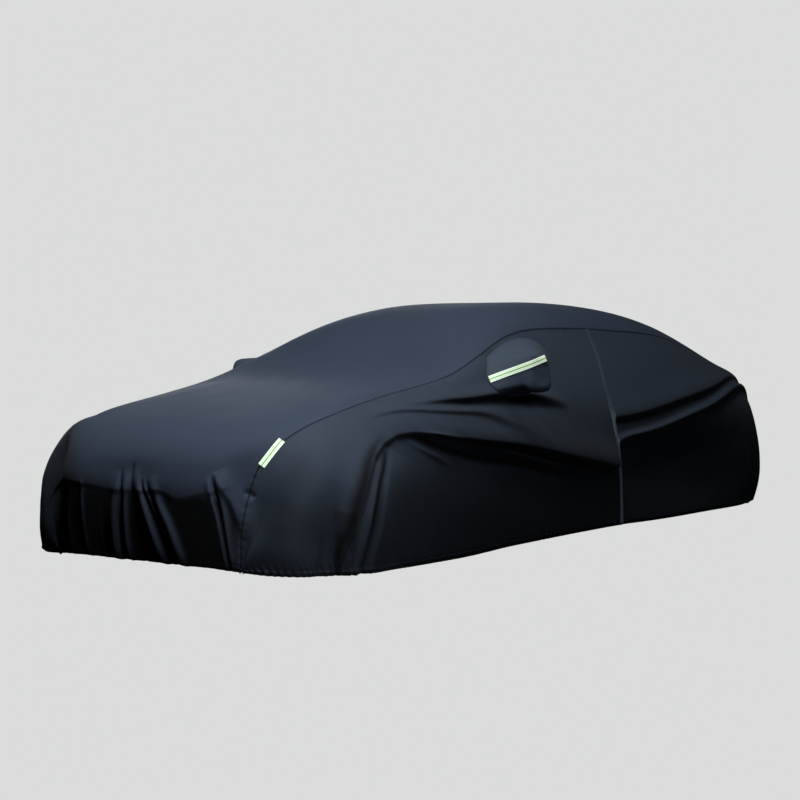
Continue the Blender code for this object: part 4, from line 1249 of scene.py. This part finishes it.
def elastic_tree():
    """A rolled edge along a path, drawn up into gathers."""
    tree, given, end = new_tree("gathered_edge", ("Radius", "Gather", "Step"))
    length = tree.nodes.new("GeometryNodeSplineParameter").outputs["Length"]
    turns = math_node(tree, "MULTIPLY", length, 2 * math.pi / GATHER_TURN)
    slow = math_node(tree, "SINE", math_node(tree, "MULTIPLY", length, GATHER_WANDER[0]))
    wander = math_node(tree, "MULTIPLY", slow, GATHER_WANDER[1])
    wave = math_node(tree, "SINE", math_node(tree, "ADD", turns, wander))
    swell = math_node(tree, "ADD", math_node(tree, "MULTIPLY", wave, given["Gather"]), 1.0)
    width = add_node(tree, "GeometryNodeSetCurveRadius", {"Curve": path_of(tree, given, "Step"),
                                                          "Radius": swell})
    circle = add_node(tree, "GeometryNodeCurvePrimitiveCircle", {"Resolution": 8, "Radius": given["Radius"]})
    tube = add_node(tree, "GeometryNodeCurveToMesh", {"Curve": width.outputs["Curve"],
                                                      "Profile Curve": circle.outputs["Curve"]})
    if "Scale" in tube.inputs:
        fill(tree, tube, {"Scale": tree.nodes.new("GeometryNodeInputRadius").outputs[0]})
    return send_out(tree, given, end, tube.outputs["Mesh"])


def grown(name, mesh, tree, values, material):
    """The plain mesh that a geometry tree grows from a mesh, as a new object."""
    holder = bpy.data.objects.new(name + "_holder", mesh)
    bpy.context.scene.collection.objects.link(holder)
    modifier = holder.modifiers.new("Grow", "NODES")
    modifier.node_group = tree
    for item in tree.interface.items_tree:
        if item.item_type == "SOCKET" and item.in_out == "INPUT":
            if item.name in values:
                modifier[item.identifier] = float(values[item.name])
            elif item.name == "Material":
                modifier[item.identifier] = material
    made = plain(holder, name)
    made.shade_smooth()
    made.set_sharp_from_angle(angle=SHARP)
    return new_object(name, made, material)


STITCH_RISE = 0.0004     # stitches lie this far above the cloth
PATH_STEP = 0.012        # between the points of a path
ROW_FREE, HEM_FREE = .02, .08        # rows of stitches leave this much free at each end
FLAP_FREE = .012
SEAM_ROWS, HEM_ROW = (-.0062, .0068), .031
FLAP_ROW = FLAP_HALF - .004


def stitch_paths(sizes):
    """Every row of stitches: (points, outward directions, closed)."""
    lattice = lattice_of(sizes)
    paths = []

    def add(along, across, lift=STITCH_RISE):
        """Add one open row of stitches at places on the cloth."""
        paths.append((*on_cloth(lattice, along, across, lift), False))

    for side in (1, -1):
        for offset in SEAM_ROWS:
            add(np.arange(ROW_FREE, END_ALONG - ROW_FREE, PATH_STEP), side * (SEAM + offset))
        add(np.arange(HEM_FREE, END_ALONG - HEM_FREE, PATH_STEP), side * (HEM - HEM_ROW))
    for place in (HEM_ROW, END_ALONG - HEM_ROW):
        add(place, np.arange(-SEAM + ROW_FREE, SEAM - ROW_FREE, PATH_STEP))
    down = np.arange(SEAM + FLAP_FREE, HEM - FLAP_FREE, PATH_STEP)
    for offset in (-FLAP_ROW, FLAP_ROW):
        add(FLAP_ALONG + offset, down, FLAP_LIFT + sizes.cloth_thickness + .0012)
    for side in (1, -1):
        grid = pocket_of(sizes, side)[:, :-1]
        centre, row = grid[:4].mean(axis=(0, 1)), grid[1]
        out = unit(unit((row - centre) * (0, 1, 1)) * .5 + (side, 0, 0))
        paths.append((row + out * .0012, out, True))
    for _name, points, _places, look in strip_sets(sizes):
        middle = points[1:-1, STRIP_COLUMNS // 2] + look * .0003
        paths.append((middle, np.repeat(look[None], len(middle), axis=0), False))
    return paths


def make_stitching(sizes, finish):
    """Thread along the seams, the hem casing, the flap, the pockets and the strips."""
    mesh = path_mesh("stitch_paths", stitch_paths(sizes))
    values = {"Pitch": sizes.stitch_pitch, "Length": sizes.stitch_length, "Width": sizes.stitch_width}
    material = one_material(thread_material, "sewing_thread", tuple(finish.thread_colour))
    piece = grown("stitching_thread", mesh, stitch_tree(), values, material)
    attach(piece, "root")


ELASTIC_INSET = 0.004
ELASTIC_GATHER, ELASTIC_STEP, ELASTIC_ROUGHNESS = .16, .007, .7


def make_elastic(sizes, finish):
    """The rolled elastic edge that runs all the way round the hem."""
    lattice = lattice_of(sizes)
    u = np.arange(.012, END_ALONG - .012, .01)
    t = np.arange(-SEAM + .005, SEAM, .01)
    left, left_out = on_cloth(lattice, u, HEM)
    right, right_out = on_cloth(lattice, u[::-1], -HEM)
    nose, nose_out = on_cloth(lattice, 0.0, t)
    tail, tail_out = on_cloth(lattice, END_ALONG, t[::-1])
    points = np.concatenate((nose, left, tail, right))
    outs = np.concatenate((nose_out, left_out, tail_out, right_out))
    points = points - outs * (sizes.elastic_radius + .0005) + (0, 0, ELASTIC_INSET)
    mesh = path_mesh("hem_path", [(points, outs, True)])
    material = one_material(thread_material, "hem_elastic", tuple(finish.elastic_colour),
                            ELASTIC_ROUGHNESS)
    values = {"Radius": sizes.elastic_radius, "Gather": ELASTIC_GATHER, "Step": ELASTIC_STEP}
    piece = grown("hem_elastic_edge", mesh, elastic_tree(), values, material)
    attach(piece, "root")


# --------------------------------------------------------------------------- stage
CAMERA_PLACE = (6.0826, -8.1157, 1.0781)
CAMERA_AZIMUTH, CAMERA_ELEVATION = 38.20, 1.97
CAMERA_LENS, CAMERA_SENSOR = 80.6, 36.0
FLOOR_LEVEL = -0.155
BACKDROP_RADIUS = 40.0

# Lamp: where it stands, what it looks at, its size, and its spread in degrees.
Lamp = namedtuple("Lamp", "name place target width height spread")
# These two lamps pass through both mirror pockets, which cast no shadow from them.
SOFT_AT_POCKETS = ("key_softbox", "overhead_softbox")
LAMPS = (
    Lamp("key_softbox", (1.1, -2.2, 5.4), (.2, -1.5, .6), 2.2, 2.0, 180),
    Lamp("overhead_softbox", (1.0, -1.6, 5.0), (.2, -1.4, .6), 3.2, 3.2, 70),
    Lamp("corner_fill", (3.6, -3.5, 1.5), (.25, -2.30, .35), 1.0, .8, 44),
    Lamp("rear_fill", (-6.0, 6.0, 2.2), (0.0, .9, .5), 4.0, 2.6, 110),
)
LAMP_COLOUR = (.93, .97, 1.0)
SUN_PLACE, SUN_ANGLE = (1.6, -.5, 1.0), math.radians(25)
AIR_COLOUR = (.90, .96, 1.0, 1.0)


def stand(name, data, place, target):
    """A lamp or camera that stands at a place and looks at its target."""
    holder = bpy.data.objects.new(name, data)
    bpy.context.scene.collection.objects.link(holder)
    holder.location = place
    direction = Vector(target) - Vector(place)
    holder.rotation_euler = direction.to_track_quat("-Z", "Y").to_euler()
    return holder


def glow_material(name, colour):
    """A plain glowing backdrop that lights nothing."""
    made = bpy.data.materials.new(name)
    made.use_nodes = True
    tree = made.node_tree
    tree.nodes.clear()
    glow = add_node(tree, "ShaderNodeEmission", {"Color": (*colour, 1.0)})
    add_node(tree, "ShaderNodeOutputMaterial", {"Surface": glow.outputs[0]})
    return made


def backdrop_object(name, material, shape, level=0.0, **size):
    """A stage object that only the camera sees."""
    bm = bmesh.new()
    shape(bm, radius=BACKDROP_RADIUS, **size)
    mesh = bpy.data.meshes.new(name)
    bm.to_mesh(mesh)
    bm.free()
    mesh.transform(Matrix.Translation((0, 0, level)))
    made = new_object(name, mesh, material)
    for ray in ("visible_diffuse", "visible_glossy", "visible_shadow", "visible_transmission"):
        setattr(made, ray, False)


def add_lamp(name, kind, power, place, target, **settings):
    """A lamp that stands at a place and looks at its target."""
    light = bpy.data.lights.new(name, kind)
    light.energy, light.color = power, LAMP_COLOUR
    for key, value in settings.items():
        setattr(light, key, value)
    return stand(name, light, place, target)


def make_camera():
    """The camera that sees the cover as the photo does."""
    camera = bpy.data.cameras.new("camera")
    camera.lens, camera.sensor_width = CAMERA_LENS, CAMERA_SENSOR
    camera.clip_start, camera.clip_end = .1, 3 * BACKDROP_RADIUS
    a, e = math.radians(CAMERA_AZIMUTH), math.radians(CAMERA_ELEVATION)
    back = Vector((math.sin(a) * math.cos(e), -math.cos(a) * math.cos(e), math.sin(e)))
    return stand("camera", camera, CAMERA_PLACE, Vector(CAMERA_PLACE) - back)


def make_stage(settings):
    """Backdrop, floor, lamps, camera and view."""
    scene = bpy.context.scene
    glow = glow_material("backdrop_grey", tuple(settings.backdrop_colour))
    backdrop_object("backdrop_dome", glow, bmesh.ops.create_uvsphere, u_segments=48, v_segments=24)
    backdrop_object("floor", glow, bmesh.ops.create_circle, FLOOR_LEVEL, cap_ends=True, segments=48)

    through = bpy.data.collections.new("lets_key_light_through")
    for piece in [item for item in scene.objects if item.name.startswith("mirror_pocket")]:
        through.objects.link(piece)
    for member in through.collection_objects:
        member.light_linking.link_state = "EXCLUDE"
    powers = (settings.key_power, settings.overhead_power, settings.corner_power, settings.rear_power)
    add_lamp("soft_sun", "SUN", settings.sun_power, SUN_PLACE, (0, 0, 0), angle=SUN_ANGLE)
    for lamp, power in zip(LAMPS, powers):
        holder = add_lamp(lamp.name, "AREA", power, lamp.place, lamp.target, shape="RECTANGLE",
                          size=lamp.width, size_y=lamp.height, spread=math.radians(lamp.spread))
        if lamp.name in SOFT_AT_POCKETS:
            holder.light_linking.blocker_collection = through

    world = bpy.data.worlds.new("soft_air")
    world.use_nodes = True
    tree = world.node_tree
    fill(tree, tree.nodes["Background"], {"Color": AIR_COLOUR, "Strength": settings.air})
    scene.world, scene.camera = world, make_camera()
    scene.view_settings.view_transform = "Standard"


# --------------------------------------------------------------- settings and tools
def colour_property(name, description, default):
    """A colour that a user can change."""
    return bpy.props.FloatVectorProperty(name=name, description=description, default=default,
                                         subtype="COLOR", size=3, min=0.0, max=1.0)


def length_property(name, description, default):
    """A length that a user can change."""
    return bpy.props.FloatProperty(name=name, description=description, default=default,
                                   unit="LENGTH", min=0.0)


def power_property(name, description, default):
    """A lamp's power that a user can change."""
    return bpy.props.FloatProperty(name=name, description=description, default=default,
                                   subtype="POWER")


class CoverSizes(bpy.types.PropertyGroup):
    """Sizes of the cloth, its seams and its thread."""
    cloth_thickness: length_property("Cloth thickness", "Thickness of the shown cloth", .0016)
    seam_depth: length_property("Seam depth", "How deep the long seams are drawn in", .0035)
    gather_height: length_property("Gather height", "Height of the hem's gathers", .0012)
    elastic_radius: length_property("Edge radius", "Half the thickness of the rolled hem edge", .0042)
    stitch_pitch: length_property("Stitch pitch", "From one stitch to the next", .0065)
    stitch_length: length_property("Stitch length", "Length of one stitch", .0046)
    stitch_width: length_property("Thread width", "Width of the sewing thread", .0011)


class CoverFinish(bpy.types.PropertyGroup):
    """Colours of the cloth, tape and thread."""
    # The cloth is one colour: the sides' darker colour is painted shade, the pockets' lighter colour is
    # painted light, and the flap's lighter colour is partly its own and partly painted light.
    top_colour: colour_property("Top", "Colour of the top panel", (.041, .056, .086))
    side_colour: colour_property("Sides", "Colour of the side panels", (.036, .049, .071))
    flap_colour: colour_property("Flap", "Colour of the door flap", (.046, .060, .076))
    pocket_colour: colour_property("Pockets", "Colour of the mirror pockets", (.056, .074, .104))
    tape_colour: colour_property("Tape", "Colour of the reflective strips", (.60, .80, .52))
    thread_colour: colour_property("Thread", "Colour of the sewing thread", (.012, .014, .018))
    elastic_colour: colour_property("Hem edge", "Colour of the rolled hem edge", (.010, .012, .015))


class StageSettings(bpy.types.PropertyGroup):
    """Light and backdrop of the picture."""
    key_power: power_property("Key", "Softbox above the nose", 162)
    overhead_power: power_property("Overhead", "Wide softbox above the cover", 13)
    corner_power: power_property("Corner fill", "Light on the near nose corner", 4.0)
    rear_power: power_property("Rear fill", "Light behind the far side", 85)
    sun_power: bpy.props.FloatProperty(name="Sun", description="Weak even light on the left side",
                                     default=.17)
    air: bpy.props.FloatProperty(name="Air", description="Light from all around", default=.003)
    backdrop_colour: colour_property("Backdrop", "Colour behind the cover", (.708, .718, .712))


class CoverOperator:
    """What every tool of the cover shares."""
    bl_options = {"REGISTER", "UNDO"}

    def execute(self, context):
        """Make the pieces with the sizes and colours of the scene."""
        self.make(context.scene.cover_sizes, context.scene.cover_finish)
        return {"FINISHED"}


class MakeTopPanel(CoverOperator, bpy.types.Operator):
    """Make the top panel, from nose hem to tail hem"""
    bl_idname, bl_label = "car_cover.top_panel", "Top panel"

    make = staticmethod(make_top_panel)


class MakeLeftPanels(CoverOperator, bpy.types.Operator):
    """Make the two cloths of the left side"""
    bl_idname, bl_label = "car_cover.left_panels", "Left side panels"

    make = staticmethod(make_left_panels)


class MakeRightPanel(CoverOperator, bpy.types.Operator):
    """Make the cloth of the right side"""
    bl_idname, bl_label = "car_cover.right_panel", "Right side panel"

    make = staticmethod(make_right_panel)


class MakeDoorFlap(CoverOperator, bpy.types.Operator):
    """Make the flap over the door zip"""
    bl_idname, bl_label = "car_cover.door_flap", "Door flap"

    make = staticmethod(make_door_flap)


class MakePockets(CoverOperator, bpy.types.Operator):
    """Make both mirror pockets"""
    bl_idname, bl_label = "car_cover.mirror_pockets", "Mirror pockets"

    make = staticmethod(make_pockets)


class MakeStrips(CoverOperator, bpy.types.Operator):
    """Make the reflective strips"""
    bl_idname, bl_label = "car_cover.strips", "Reflective strips"

    make = staticmethod(make_strips)


class MakeStitching(CoverOperator, bpy.types.Operator):
    """Make every row of stitches"""
    bl_idname, bl_label = "car_cover.stitching", "Stitching"

    make = staticmethod(make_stitching)


class MakeElastic(CoverOperator, bpy.types.Operator):
    """Make the rolled elastic edge of the hem"""
    bl_idname, bl_label = "car_cover.elastic", "Hem elastic"

    make = staticmethod(make_elastic)


class MakeStage(bpy.types.Operator):
    """Make the backdrop, lamps and camera"""
    bl_idname, bl_label = "car_cover.stage", "Stage"
    bl_options = {"REGISTER", "UNDO"}

    def execute(self, context):
        """Make the stage with the settings of the scene."""
        make_stage(context.scene.cover_stage)
        return {"FINISHED"}


OPERATORS = (MakeTopPanel, MakeLeftPanels, MakeRightPanel, MakeDoorFlap, MakePockets, MakeStrips,
             MakeStitching, MakeElastic, MakeStage)


class COVER_PT_tools(bpy.types.Panel):
    """Lists the tools that build the cover"""
    bl_label, bl_idname = "Car cover", "COVER_PT_tools"
    bl_space_type, bl_region_type, bl_category = "VIEW_3D", "UI", "Car cover"

    def draw(self, context):
        """Show every setting and a button for every tool."""
        for group in (context.scene.cover_sizes, context.scene.cover_finish, context.scene.cover_stage):
            box = self.layout.box()
            for key in group.__annotations__:
                box.prop(group, key)
        for operator in OPERATORS:
            self.layout.operator(operator.bl_idname)


GROUPS = {"cover_sizes": CoverSizes, "cover_finish": CoverFinish, "cover_stage": StageSettings}


def register():
    """Add the settings, tools and panel."""
    for made in (*GROUPS.values(), *OPERATORS, COVER_PT_tools):
        bpy.utils.register_class(made)
    for key, group in GROUPS.items():
        setattr(bpy.types.Scene, key, bpy.props.PointerProperty(type=group))


def unregister():
    """Take the settings, tools and panel away again."""
    for key in GROUPS:
        delattr(bpy.types.Scene, key)
    for made in (COVER_PT_tools, *reversed(OPERATORS), *GROUPS.values()):
        bpy.utils.unregister_class(made)


def main():
    """Build the whole cover and its stage."""
    register()
    for operator in OPERATORS:
        group, tool = operator.bl_idname.split(".")
        getattr(getattr(bpy.ops, group), tool)()


if __name__ == "__main__":
    main()
